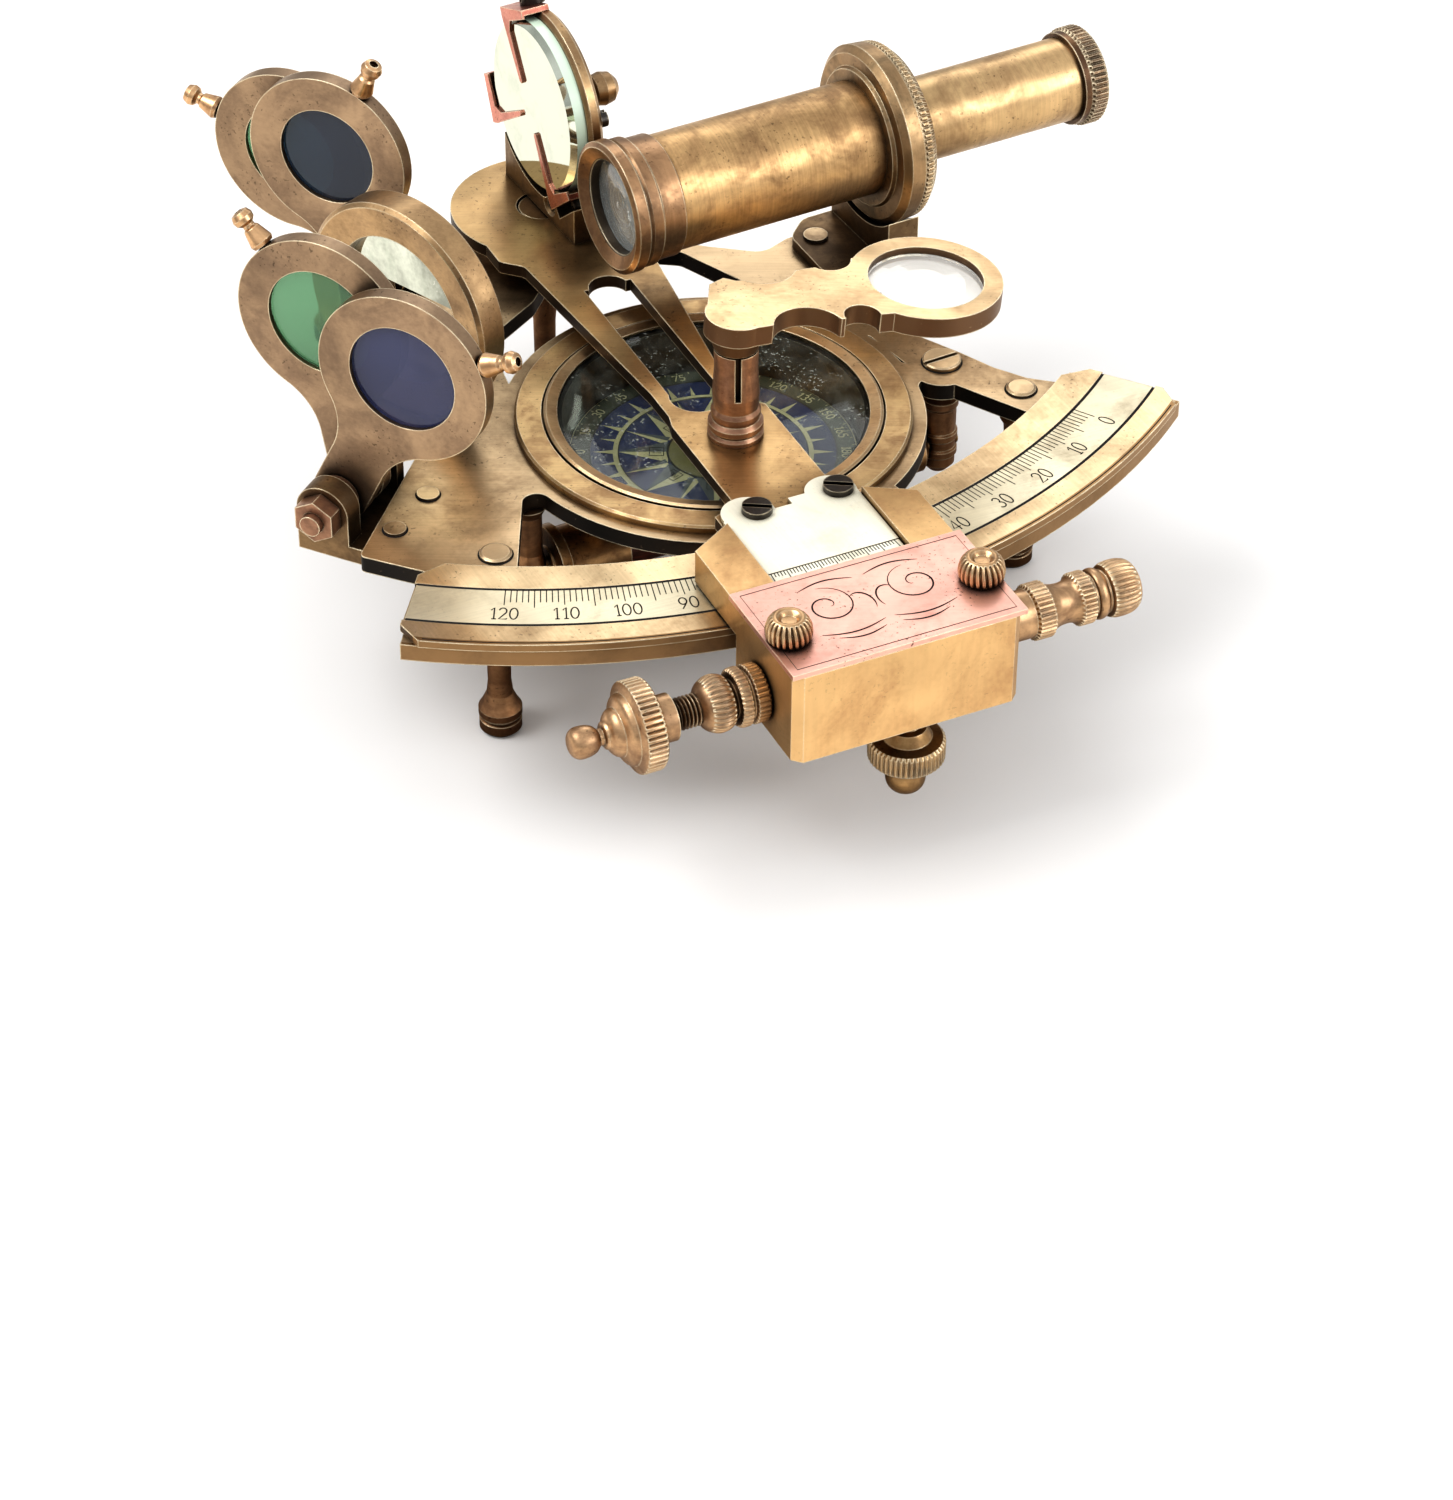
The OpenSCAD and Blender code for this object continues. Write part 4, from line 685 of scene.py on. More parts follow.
# Each metal finish: name, clean colour, film, cover, blotch size, roughness, further options, its nodes
METALS = (
    ("Frame Plate Brass", PLATE_BRASS, "brown", 0.4, 0.02, 0.32,
     dict(sides="patina", shift=0.3, parts=(DARK_RIM,)), "frame_plate"),
    ("Rivet Brass", PLATE_BRASS, "brown", 0.4, 0.01, 0.3,
     dict(sides=(70, 54, 40), shift=0.8, edge=0.6), "frame_rivets"),
    ("Arc Brass", (222, 196, 156), (150, 118, 84), 0.42, 0.02, 0.27,
     dict(sides=(74, 56, 40), lines=LINES_ACROSS, depth=0.6, parts=(DARK_RIM,)), "arc_layer"),
    ("Scale Band", "scale", (158, 142, 114), 0.36, 0.014, 0.34,
     dict(lines=LINES_SCALE, shift=0.7, edge=0.3, specks=0.15, depth=0.6, streak=0.05, metal=0.75),
     "scale_strip"),
    ("Arm Brass", (196, 164, 118), (132, 100, 68), 0.42, 0.02, 0.3,
     dict(sides=(46, 34, 26), shift=1.1, depth=0.65), "index_arm"),
    ("Compass Rim Brass", (206, 176, 136), (142, 112, 82), 0.45, 0.008, 0.28,
     dict(shift=0.9, depth=0.6), "compass_bezel"),
    ("Bowl Brass", (204, 174, 128), (144, 106, 74), 0.46, 0.007, 0.32,
     dict(shift=0.5, depth=0.7, parts=((("tube", "Z", *COMPASS[:2], 28.3), (26, 31, 26), 0.0),)),
     "compass_bowl"),
    ("Block Brass", "gold_brass", (176, 132, 90), 0.42, 0.018, 0.3,
     dict(lines=LINES_UPRIGHT, shift=0.15, edge=0.8, specks=0.2, streak=0.03, metal=0.92), "clamp_block"),
    ("Cover Copper", "copper", (214, 156, 142), 0.4, 0.009, 0.36,
     dict(shift=0.4, edge=0.6, specks=0.8, depth=0.6, streak=0.03), "block_cover"),
    ("Vernier Silvering", "silver", (228, 214, 176), 0.34, 0.012, 0.4,
     dict(sides=(176, 160, 128), lines=LINES_ACROSS, shift=0.2, edge=0.3, specks=0.12, depth=0.5,
          streak=0.03, metal=0.3), "vernier_plate"),
    ("Dark Steel", "steel", (44, 40, 38), 0.5, 0.003, 0.28,
     dict(shift=0.6, edge=0.5), "vernier_screws", "index_screws"),
    ("Clip Copper", "clip", (160, 88, 72), 0.4, 0.004, 0.24, dict(shift=0.4, edge=0.7), "index_clips"),
    ("Tube Brass", (208, 172, 124), (122, 92, 64), 0.5, 0.009, 0.33,
     dict(lines=LINES_TUBE, shift=0.8, depth=0.72, streak=0.12, parts=((bore(10.6), BLACK, 0.2),)),
     "scope_tube"),
    ("Objective Brass", (176, 140, 106), (92, 70, 54), 0.5, 0.006, 0.3,
     dict(lines=LINES_TUBE, shift=1.4, depth=0.7, parts=((bore(9.3), (90, 80, 66), 0.6),)),
     "objective_cell"),
    ("Draw Tube Brass", (214, 182, 136), (132, 100, 70), 0.48, 0.009, 0.31,
     dict(lines=LINES_TUBE, shift=0.1, depth=0.6, streak=0.09, parts=((bore(7.9), BLACK, 0.2),)),
     "draw_tube"),
    ("Collar Brass", (184, 152, 114), (78, 72, 54), 0.52, 0.009, 0.33,
     dict(lines=LINES_TUBE, shift=1.3, depth=0.7), "scope_collar"),
    ("Dark Bracket Brass", (150, 124, 92), (84, 66, 50), 0.55, 0.01, 0.34, dict(shift=2.0, depth=0.7),
     "scope_bracket", "horizon_foot", "front_bracket", "back_bracket", "index_base"),
    ("Shade Plate Brass", (176, 150, 122), (106, 86, 72), 0.5, 0.014, 0.33,
     dict(shift=0.25, depth=0.62, streak=0.04),
     "front_blue_plate", "front_green_plate", "back_blue_plate", "back_green_plate"),
    ("Ring Brass", (192, 160, 120), (104, 80, 58), 0.5, 0.012, 0.3, dict(shift=1.7, depth=0.6),
     "horizon_ring", "index_ring", "pivot_pin"),
    ("Magnifier Brass", (214, 184, 142), (150, 118, 84), 0.4, 0.012, 0.27,
     dict(sides=(110, 82, 58), shift=0.65, depth=0.55), "magnifier_bracket"),
    ("Turned Reddish Brass", "copper_brass", (104, 74, 58), 0.48, 0.008, 0.25,
     dict(shift=0.35, metal=0.78), "magnifier_post", "shade_bolts", "shade_nuts"),
    ("Knob Brass", (216, 176, 134), (142, 104, 76), 0.4, 0.004, 0.25, dict(shift=0.55),
     "front_blue_knob", "front_green_knob", "back_blue_knob", "back_green_knob"),
    ("Leg Brass", (178, 136, 98), (88, 62, 44), 0.5, 0.009, 0.3,
     dict(shift=1.5, parts=((("above", PLATE_TOP - 0.1), PLATE_BRASS, 1.0),)),
     "leg_left", "leg_right", "leg_rear", "handle_column", "handle_stud", "clamp_shoe"),
    ("Handle End Brass", (196, 158, 112), (110, 80, 54), 0.45, 0.006, 0.27, dict(shift=0.15),
     "handle_ends"),
)

# Each glass: name, linear colour or a setting's name, options, its nodes
GLASSES = (
    ("Compass Glass", (0.78, 0.83, 0.78), dict(haze=0.01, dust=0.3, ior=1.2), "compass_glass"),
    # Its white body colour is a painted pale reflection
    ("Magnifier Glass", (0.99, 1.0, 0.99),
     dict(haze=0.0, ior=1.3, body_share=0.3, body_colour=(248, 246, 240)), "magnifier_lens"),
    # Their pale body colour is a painted reflection
    ("Lens Glass", (0.93, 0.96, 0.95),
     dict(haze=0.0, dust=0.1, ior=1.7, body_share=0.2, body_colour=(190, 196, 196)),
     "objective_lens", "eyepiece_lens"),
    ("Green Shade Glass", "green", dict(body_share=0.3, body_colour=(96, 160, 118)),
     "front_green_glass", "back_green_glass"),
    ("Blue Shade Glass", "blue", dict(body_share=0.4, body_colour=(72, 80, 124)), "front_blue_glass"),
    ("Dark Blue Shade Glass", "blue", dict(body_share=0.3, body_colour=(44, 62, 84)), "back_blue_glass"),
)


class Step(bpy.types.Operator):
    """Common base of the steps that dress the sextant."""
    bl_options = {"REGISTER", "UNDO"}


class SEXTANT_OT_metal(Step):
    """Gives every metal and wooden solid its aged finish."""
    bl_idname = "sextant.metal"
    bl_label = "Metal finishes"

    def execute(self, context):
        for name, clean, film, cover, blotch, rough, options, *nodes in METALS:
            dress(brass_finish(name, clean, film, cover, blotch, rough, **options), *nodes)
        dress(wood_finish("Grip Wood", "wood"), "handle_grip")
        return {"FINISHED"}


class SEXTANT_OT_glass(Step):
    """Gives the lenses, shades, mirrors and the compass glass their finish."""
    bl_idname = "sextant.glass"
    bl_label = "Glass finishes"

    def execute(self, context):
        for name, colour, options, *nodes in GLASSES:
            linear = shade(colour) if isinstance(colour, str) else colour
            dress(glass_finish(name, linear, **options), *nodes)
        dress(mirror_finish("Index Mirror", tuple(X_AXIS), (206, 226, 206)), "index_mirror")
        return {"FINISHED"}


class SEXTANT_OT_horizon_glass(Step):
    """Cuts the half-silvered horizon glass: a disc of glass with a straight lower edge, spotted behind."""
    bl_idname = "sextant.horizon_glass"
    bl_label = "Horizon glass"

    def execute(self, context):
        centre, turn, radius, near, far = np.array((-43.0, -37.0, 59.5)), 22.0, 16.9, -3.2, -0.8
        low_edge, steps = 3.0, 72
        normal = np.append(rays(turn), 0.0)
        start = math.degrees(math.asin(low_edge / radius))
        rim = radius * rays(np.linspace(start, 180.0 - start, steps)) @ np.stack((np.cross(UP, normal), UP))
        points = np.concatenate((centre + normal * near + rim, centre + normal * far + rim))
        k = np.arange(steps)
        faces = [tuple(k), tuple(k[::-1] + steps), *band_faces(steps)]
        finish = mirror_finish("Horizon Mirror", tuple(normal), (176, 190, 172), 0.7)
        made = new_piece("half_silvered_glass", points, faces, finish, "frame")
        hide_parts("horizon_glass")
        return {"FINISHED"}


class SEXTANT_OT_scale(Step):
    """Engraves the divisions and numbers of the arc."""
    bl_idname = "sextant.scale"
    bl_label = "Arc scale"

    def execute(self, context):
        wax = flat_finish("Black Wax", "wax", 0.95)
        lift = size("mark_lift")
        reading = np.arange(LAST_READING + 1)
        ends = np.where(reading % 10 == 0, 119.5, np.where(reading % 5 == 0, 120.2, 118.7))
        ticks = spokes(115.4, ends, ZERO_ANGLE - reading / 2, size("tick_width"))
        lines = []
        for value in range(0, LAST_READING + 1, 10):
            ray = rays(ZERO_ANGLE - value / 2)
            lines += word(str(value), size("digit_height"), ray * 121.9, square_to(ray), -ray, 0.8)
        numbers = ribbons(lines, size("stroke_width"))
        marked("arc_divisions", [ticks, numbers], ARC_TOP + lift, wax, "frame")
        seams = []
        for radius, width, reach in ((115.15, 0.55, 37.0), (125.1, 0.55, 37.0), (130.05, 0.22, 35.3)):
            sweep = np.linspace(ARC_MIDDLE - reach, ARC_MIDDLE + reach, 120)
            seams.append(ribbons([radius * rays(sweep)], width))
        marked("arc_seams", seams, ARC_TOP + lift * 0.7, wax, "frame")
        return {"FINISHED"}


class SEXTANT_OT_seams(Step):
    """Draws the dark seam round each rivet head on the plate, measured on the heads themselves."""
    bl_idname = "sextant.seams"
    bl_label = "Rivet seams"

    def execute(self, context):
        heads = {"frame_rivets": ((-56.4, -66.5), (-66.1, -73.2)), "leg_left": ((-53.7, -88.0),),
                 "leg_right": ((53.7, -88.0),), "handle_column": ((45.4, -73.5),),
                 "handle_stud": ((-40.0, -73.5),)}
        widest_head = 6.0
        rings = []
        for node, places in heads.items():
            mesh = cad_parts[node].data
            spots = np.zeros(len(mesh.vertices) * 3)
            mesh.vertices.foreach_get("co", spots)
            spots = spots.reshape(-1, 3) / MM
            high = spots[spots[:, 2] > PLATE_TOP + 0.1]
            for place in places:
                reach = np.linalg.norm(high[:, :2] - place, axis=1)
                reach = reach[reach < widest_head]
                if len(reach):
                    rings.append(ring(reach.max() - 0.05, reach.max() + 0.28, 48, place))
        marked("rivet_seams", rings, PLATE_TOP + size("mark_lift"), bpy.data.materials["Black Wax"], "frame")
        return {"FINISHED"}


class SEXTANT_OT_scrolls(Step):
    """Engraves plain scrolls and a border line on the copper cover."""
    bl_idname = "sextant.scrolls"
    bl_label = "Cover scrolls"

    def execute(self, context):
        lines = []
        t = np.linspace(0.0, 1.0, 40)
        winding = TURN * 1.35 * t
        reach = 4.6 * (1.0 - t) ** 0.8 + 0.5
        bow = math.pi * (0.3 + 0.9 * t)
        swell = np.sin(math.pi * t)
        for side in (-1.0, 1.0):
            for along, across in ((139.6 - reach * np.cos(winding), 8.2 - reach * np.sin(winding)),
                                  (146.6 + 1.3 * swell, 0.8 + 12.0 * t),
                                  (148.4 + 1.1 * swell, 1.5 + 9.0 * t),
                                  (134.2 - 1.2 * swell, 1.0 + 10.5 * t),
                                  (141.5 + 3.2 * np.cos(bow), 2.6 - 2.2 * np.sin(bow))):
                lines.append(np.stack((along, side * across), 1))
        near, far, half = 131.0, 153.2, 20.6
        border = [(near, -half), (far, -half), (far, half), (near, half), (near, -half)]
        marked("cover_scrolls", [ribbons(lines, 0.32, True), ribbons([border], 0.16)],
               COVER_TOP + size("mark_lift"), bpy.data.materials["Black Wax"], "arm",
               axes=(ARM_OUT, ARM_SIDE))
        return {"FINISHED"}


class SEXTANT_OT_vernier(Step):
    """Adds the vernier's raised band on the foot of the arm and engraves its divisions."""
    bl_idname = "sextant.vernier"
    bl_label = "Vernier divisions"

    def execute(self, context):
        wax = flat_finish("Vernier Wax", "wax", 0.5, shift=0.2)
        near, far, half = 124.98, 129.6, 12.7
        corners = ((near, -half), (far, -half), (far, half), (near, half))
        points = [ARM_OUT * u + ARM_SIDE * v + UP * z
                  for z in (VERNIER_LOW, VERNIER_TOP) for u, v in corners]
        faces = [(3, 2, 1, 0), (4, 5, 6, 7), (0, 1, 5, 4), (1, 2, 6, 5), (2, 3, 7, 6), (3, 0, 4, 7)]
        new_piece("vernier_band", points, faces, bpy.data.materials["Vernier Silvering"], "arm")
        count = np.arange(-20, 21)
        ends = np.where(count % 5 == 0, 128.9, 126.5)
        ticks = spokes(125.05, ends, ARM_TURN + count * 0.27, size("tick_width"))
        marked("vernier_divisions", [ticks], VERNIER_TOP + size("mark_lift"), wax, "arm")
        return {"FINISHED"}


class SEXTANT_OT_card(Step):
    """Prints the compass card: degree ring, dark band with rays, points and letters."""
    bl_idname = "sextant.card"
    bl_label = "Compass card print"

    def execute(self, context):
        cream = flat_finish("Card Paper", "cream", 0.7, speck=0.5)
        blue = flat_finish("Card Blue Print", "card_blue", shift=0.1)
        grey = flat_finish("Card Grey Print", (88, 92, 96), shift=0.2)
        ink = flat_finish("Card Ink", (26, 24, 24), shift=0.3)
        olive = flat_finish("Card Olive Print", (66, 68, 54), shift=0.4)
        middle = flat_finish("Card Centre Print", (128, 120, 82), shift=0.5)
        dress(cream, "compass_card")

        def lay(name, parts, lift, material):
            marked(name, parts, CARD_TOP + lift, material, "card", COMPASS)

        core, half_root, point_tip, ray_root, ray_ring, edge = 8.3, 9.0, 17.4, 18.4, 22.6, 26.2
        lay("card_blue_field", [ring(core, point_tip), ring(ray_root, ray_ring)], 0.04, blue)
        lay("card_olive_field", [ring(ray_ring, edge)], 0.04, olive)
        lay("card_centre", [ring(0.6, core)], 0.04, middle)
        mains, halves, shadows, marks = [], [], [], []
        for k, letter in enumerate(("N", "NE", "E", "SE", "S", "SW", "W", "NW")):
            out = rays(NORTH + 45.0 * k)
            for shape, ray, near, wide in ((mains, out, core, 3.2),
                                           (halves, rays(NORTH + 22.5 + 45.0 * k), half_root, 1.2)):
                side = square_to(ray) * wide
                shape.append(wedge(ray * near, side, ray * point_tip))
                shaded = (ray * near, ray * (near + 0.02) - side, ray * point_tip)
                shadows.append((np.stack(shaded), [[0, 1, 2]]))
            right = -square_to(out)
            marks += word(letter, 1.7 if len(letter) == 1 else 1.2, out * 10.4, right, out)
            low, high, across = out * 9.1, out * 11.7, right * 1.25
            marks.append(np.array([low - across, low + across, high + across, high - across, low - across]))
        lay("card_points", mains + halves, 0.08, cream)
        lay("card_half_points", shadows, 0.12, grey)
        wedges = []
        for k in range(32):
            out = rays(NORTH + 11.25 * k)
            wide, tip = (0.42, 21.2) if k % 2 else (0.6, 22.2)
            wedges.append(wedge(out * ray_root, square_to(out) * wide, out * tip))
        lay("card_rays", wedges, 0.08, cream)
        degrees = []
        for k in range(24):
            out = rays(NORTH - 15.0 * k)
            degrees += word(str(15 * k), 1.7, out * 24.4, -square_to(out), out)
        ticks = spokes(25.5, 26.1, NORTH + 5.0 * np.arange(72), 0.18)
        lay("card_degrees", [ribbons(degrees, 0.26), ticks], 0.1, cream)
        rings = ((8.2, 8.6), (17.3, 17.5), (22.5, 22.8), (26.0, 26.2))
        lay("card_print", [ribbons(marks, 0.24), *(ring(*pair) for pair in rings)], 0.16, ink)
        return {"FINISHED"}


class SEXTANT_OT_fine_screw(Step):
    """Turns the fine screw with its milled heads, ribbed balls and thread."""
    bl_idname = "sextant.fine_screw"
    bl_label = "Fine screw"

    def execute(self, context):
        depth = size("rib_depth")
        finish = brass_finish("Fine Screw Brass", (202, 166, 128), (112, 84, 64), 0.46, 0.006, 0.29,
                              shift=0.45)
        pitch, root, crest = 0.72, 2.2, 2.9
        thread = [(r, s + pitch * k) for k in range(6) for r, s in ((root, -37.9), (crest, -37.55))]
        profile = [
            (0, -57.2), (1.7, -57.1, 1), (2.8, -56.1, 1), (2.85, -54.2, 1), (2.4, -52.6, 1), (1.5, -51.8),
            (1.5, -51.1), (2.4, -50.9, 1), (2.5, -50.3, 1), (3.6, -49.8, 1), (4.3, -48.9, 1), (4.3, -48.3),
            (6.1, -47.6, 1), (6.4, -46.6), (8.0, -46.1, 1), (8.2, -45.7), (8.2, -42.7), (7.9, -42.2, 1),
            (7.2, -42), (4.2, -41.6), (4.2, -38.4), (2.2, -38.3), *thread, (2.5, -33.6), (4.0, -32.9, 1),
            (5.0, -31.2, 1), (5.2, -29.8, 1), (4.7, -28.2, 1), (3.6, -27.4), (3.6, -27.1), (4.9, -27.0),
            (5.3, -26.6, 1), (5.3, -25.2), (4.6, -24.8), (4.6, -24.5), (5.3, -24.2), (5.3, -22.2),
            (5.0, -21.8), (2.4, -21.8), (2.4, 21.8), (4.2, 21.8), (4.4, 22.2), (4.4, 24.6), (4.1, 24.8),
            (4.1, 25.0), (4.4, 25.2), (4.4, 29.4), (5.1, 29.8), (5.1, 32.8), (4.4, 33.2), (3.8, 34.6, 1),
            (3.6, 36.4, 1), (3.9, 38, 1), (4.8, 38.6), (4.8, 41), (4.0, 41.4), (4.0, 41.8), (4.5, 42.0, 1),
            (4.7, 42.7, 1), (4.5, 43.5, 1), (4.0, 44), (4.0, 44.4), (4.7, 44.7), (5.1, 45.6, 1),
            (5.1, 48.2, 1), (4.4, 50, 1), (2.8, 50.7, 1), (0, 50.8)]
        bands = [(-45.7, -42.7, 8.0, depth, 46, 0.0), (-32.0, -28.2, 4.2, depth * 0.7, 30, 0.0),
                 (-27.0, -25.2, 4.8, depth * 0.6, 34, 0.0), (-24.2, -22.2, 4.8, depth * 0.6, 34, 0.0),
                 (29.8, 32.8, 4.6, depth * 0.7, 32, 0.0), (38.6, 41.0, 4.6, depth * 0.7, 32, 0.0),
                 (44.9, 49.6, 4.2, depth * 0.7, 30, 0.0)]
        turned("fine_screw_turned", profile, bands, FINE_SCREW, ARM_SIDE, finish, "fine_screw",
               ("fine_screw",), 276)
        return {"FINISHED"}


class SEXTANT_OT_clamp_screw(Step):
    """Turns the clamp screw under the block with its milled head."""
    bl_idname = "sextant.clamp_screw"
    bl_label = "Clamp screw"

    def execute(self, context):
        depth = size("rib_depth")
        finish = brass_finish("Clamp Screw Brass", (186, 150, 104), (88, 66, 46), 0.5, 0.007, 0.28,
                              shift=0.95)
        z, r, tip = 18.8, 6.8, 37.8
        profile = [(0, z - 9.6), (1.6, z - 9.4, 1), (3.2, z - 8.2, 1), (3.7, z - 6.2, 1), (3.0, z - 4.3, 1),
                   (2.6, z - 3.5), (4.6, z - 2.7), (r - 0.5, z - 2.2), (r, z - 1.7), (r, z + 1.7),
                   (r - 0.5, z + 2.2), (4.4, z + 2.6), (3.4, z + 4.6), (2.3, z + 5), (2.3, tip), (0, tip)]
        bands = [(z - 1.7, z + 1.7, r - 0.2, depth * 0.8, 44, 0.0)]
        turned("clamp_screw_turned", profile, bands, CLAMP_SCREW, UP, finish, "clamp_screw",
               ("clamp_screw",), 264)
        return {"FINISHED"}


class SEXTANT_OT_cover_screws(Step):
    """Turns the two domed screws of the copper cover with their slanted ribs."""
    bl_idname = "sextant.cover_screws"
    bl_label = "Cover screws"

    def execute(self, context):
        depth = size("rib_depth")
        finish = brass_finish("Cover Screw Brass", (210, 172, 130), (108, 82, 60), 0.4, 0.005, 0.26,
                              shift=0.75)
        z, foot = COVER_TOP, 41.0
        profile = [(0, foot), (1.3, foot), (1.3, z), (3.4, z), (4.1, z + 0.8, 1), (4.1, z + 2.6, 1),
                   (3.5, z + 4, 1), (2.5, z + 4.7, 1), (1.9, z + 4.5), (1.3, z + 3.8), (0, z + 3.7)]
        bands = [(z + 0.2, z + 4.3, 2.6, depth * 1.1, 22, 0.55)]
        for k, u, v, replaced in ((1, 144.9, -18.2, ("cover_screws",)), (2, 143.6, 18.9, ())):
            turned(f"cover_screw_{k}", profile, bands, ARM_OUT * u + ARM_SIDE * v, UP, finish, "arm",
                   replaced, 220)
        return {"FINISHED"}


class SEXTANT_OT_eyepiece_rim(Step):
    """Turns the milled rim of the eyepiece cap."""
    bl_idname = "sextant.eyepiece_rim"
    bl_label = "Eyepiece rim"

    def execute(self, context):
        depth = size("rib_depth")
        finish = brass_finish("Eyepiece Brass", (128, 98, 72), (66, 48, 38), 0.55, 0.006, 0.3, shift=1.2)
        profile = [(8.1, 96), (9, 96), (9, 97.4), (9.6, 97.8), (9.6, 100.6), (9, 101.1), (5.4, 101.1),
                   (4.4, 100.4), (4.4, 99.6), (6.9, 99.6), (6.9, 97), (8.1, 97), (8.1, 96)]
        turned("eyepiece_cap_turned", profile, [(97.8, 100.6, 9.3, depth, 52, 0.0)], SCOPE_START, X_AXIS,
               finish, "draw", ("eyepiece_cap",), 312)
        return {"FINISHED"}


class SEXTANT_OT_collar(Step):
    """Turns the flanged collar of the telescope with the milling on its rear rim."""
    bl_idname = "sextant.collar"
    bl_label = "Telescope collar"

    def execute(self, context):
        profile = [(11, 50.8), (13.2, 50.8), (13.6, 51.6), (16, 51.6), (17.4, 52.8), (17.15, 55.8),
                   (16.8, 56.0), (16.8, 56.2), (17.1, 56.4), (17.0, 57.6), (15.6, 59), (13, 59),
                   (12.6, 59.5), (11, 59.5), (11, 50.8)]
        turned("scope_collar_turned", profile, [(56.4, 57.6, 16.9, 0.45, 96, 0.0)], SCOPE_START, X_AXIS,
               bpy.data.materials["Collar Brass"], "frame", ("scope_collar",), 480)
        return {"FINISHED"}


def set_floor(scene):
    """A pale floor; only in reflections it shows brown under the object and white round it, a painted
    reflection.
    """
    net = new_net(bpy.data.materials.new("Pale Floor"))
    spot = net.apart(net.place())
    away = net.math("ADD", spot["Y"], 0.06)
    reach = net.math("SQRT", net.fused(away, away, net.times(spot["X"], spot["X"])))
    # Painted reflection: what reflections see of the floor, brown near the object and white further out
    painted_reflection = net.mix(net.span(reach, 0.06, 0.13), tint(92, 76, 66), tint(240, 234, 226))
    seen = net.mix(net.node("LightPath")["Is Glossy Ray"], shade("floor"), painted_reflection)
    half = 3.0
    mesh = bpy.data.meshes.new("floor")
    mesh.from_pydata([(-half, -half, 0), (half, -half, 0), (half, half, 0), (-half, half, 0)], [],
                     [(0, 1, 2, 3)])
    mesh.materials.append(net.shown(net.principled(seen, 0.7)))
    floor = bpy.data.objects.new("floor", mesh)
    scene.collection.objects.link(floor)


def set_room(scene):
    """A white room, brighter above and a little uneven in reflections, plain white behind the object."""
    net = new_net(bpy.data.worlds.new("White Room"))
    around = net.place("Generated")
    drift = net.span(net.noise(around, 2.6, 1.0, 0.4), 0.35, 0.65, 0.7, 1.2)
    light = net.times(net.span(net.apart(around)["Z"], -0.1, 0.8, 0.4, 1.05), drift)
    light = net.math("MAXIMUM", light, net.node("LightPath")["Is Camera Ray"])
    room = net.node("Background", {"Color": net.grey(light), "Strength": scene.sextant_light.sky})[0]
    scene.world = net.shown(room, "OutputWorld")


def set_lamps(scene):
    """Three square soft boxes, turned to the object."""
    light = scene.sextant_light
    aim = Vector((0.0, -0.06, 0.04))
    for name, place, size, power in (("key_box", (-0.55, 0.1, 0.8), 0.6, light.key),
                                     ("fill_box", (0.5, -0.75, 0.45), 0.5, light.fill),
                                     ("sheen_box", (0.42, 0.56, 0.56), 0.34, light.sheen)):
        lamp = bpy.data.lights.new(name, "AREA")
        lamp.shape = "SQUARE"
        lamp.size = size
        lamp.energy = power
        made = bpy.data.objects.new(name, lamp)
        made.location = place
        made.rotation_euler = (aim - Vector(place)).to_track_quat("-Z", "Y").to_euler()
        scene.collection.objects.link(made)


def set_camera(scene):
    """The photograph's camera: 36 mm stand for its 1500 pixels, and its focal length is 4611.5 pixels."""
    lens = bpy.data.cameras.new("camera")
    lens.sensor_width = lens.sensor_height = 36.0
    lens.sensor_fit = "AUTO"
    lens.lens = 36.0 * 4611.5 / 1500.0
    lens.clip_start = 0.01
    lens.clip_end = 20.0
    camera = bpy.data.objects.new("camera", lens)
    camera.location = Vector((-330.64948, -672.85488, 520.30064)) * MM
    camera.rotation_euler = [math.radians(angle) for angle in (50.87292, -0.3866, -28.62042)]
    scene.collection.objects.link(camera)
    scene.camera = camera


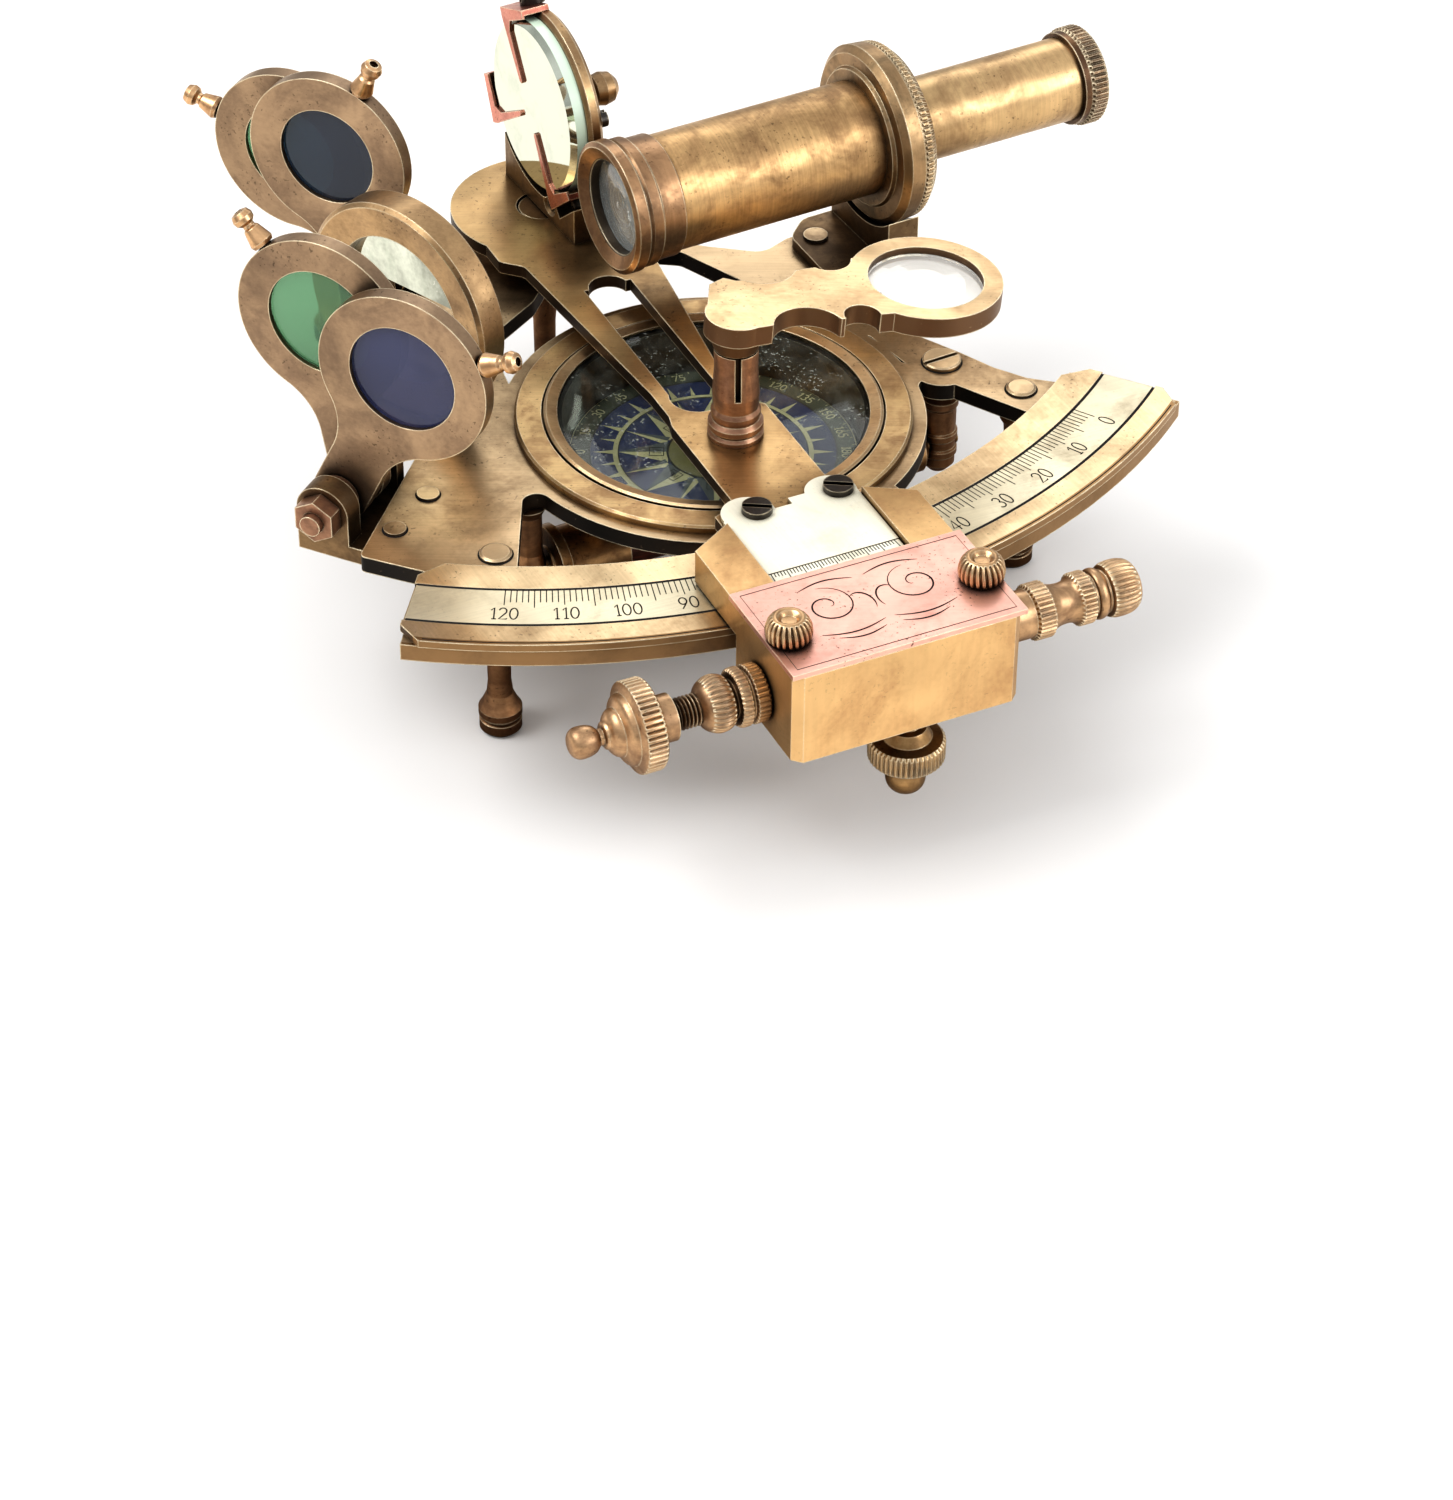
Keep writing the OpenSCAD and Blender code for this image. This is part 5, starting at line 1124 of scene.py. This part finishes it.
class SEXTANT_OT_stage(Step):
    """Sets the pale floor, the studio light and the camera."""
    bl_idname = "sextant.stage"
    bl_label = "Stage"

    def execute(self, context):
        for part in (set_floor, set_room, set_lamps, set_camera):
            part(context.scene)
        context.scene.view_settings.view_transform = "Standard"
        context.scene.view_settings.look = "Medium High Contrast"
        return {"FINISHED"}


STEPS = (SEXTANT_OT_metal, SEXTANT_OT_glass, SEXTANT_OT_horizon_glass, SEXTANT_OT_scale, SEXTANT_OT_seams,
         SEXTANT_OT_scrolls, SEXTANT_OT_vernier, SEXTANT_OT_card, SEXTANT_OT_fine_screw,
         SEXTANT_OT_clamp_screw, SEXTANT_OT_cover_screws, SEXTANT_OT_eyepiece_rim, SEXTANT_OT_collar,
         SEXTANT_OT_stage)


class SEXTANT_PT_panel(bpy.types.Panel):
    """Lists the steps and their sizes and colours."""
    bl_idname = "SEXTANT_PT_panel"
    bl_label = "Brass sextant"
    bl_space_type = "VIEW_3D"
    bl_region_type = "UI"
    bl_category = "Sextant"

    def draw(self, context):
        layout = self.layout
        for step in STEPS:
            layout.operator(step.bl_idname)
        for group in SETTINGS:
            settings = getattr(context.scene, group)
            column = layout.column(align=True)
            for name in settings.bl_rna.properties.keys():
                if name not in ("rna_type", "name"):
                    column.prop(settings, name)


SETTINGS = {"sextant_sizes": SextantSizes, "sextant_colours": SextantColours, "sextant_light": SextantLight}
CLASSES = (*SETTINGS.values(), *STEPS, SEXTANT_PT_panel)


def register():
    """Registers the classes and hangs the settings on the scene."""
    for made in CLASSES:
        bpy.utils.register_class(made)
    for name, settings in SETTINGS.items():
        setattr(bpy.types.Scene, name, bpy.props.PointerProperty(type=settings))


def unregister():
    """Takes the settings and the classes away again."""
    for name in SETTINGS:
        delattr(bpy.types.Scene, name)
    for made in reversed(CLASSES):
        bpy.utils.unregister_class(made)


def main():
    """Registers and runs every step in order."""
    register()
    for step in STEPS:
        group, name = step.bl_idname.split(".")
        getattr(getattr(bpy.ops, group), name)()


if __name__ == "__main__":
    main()
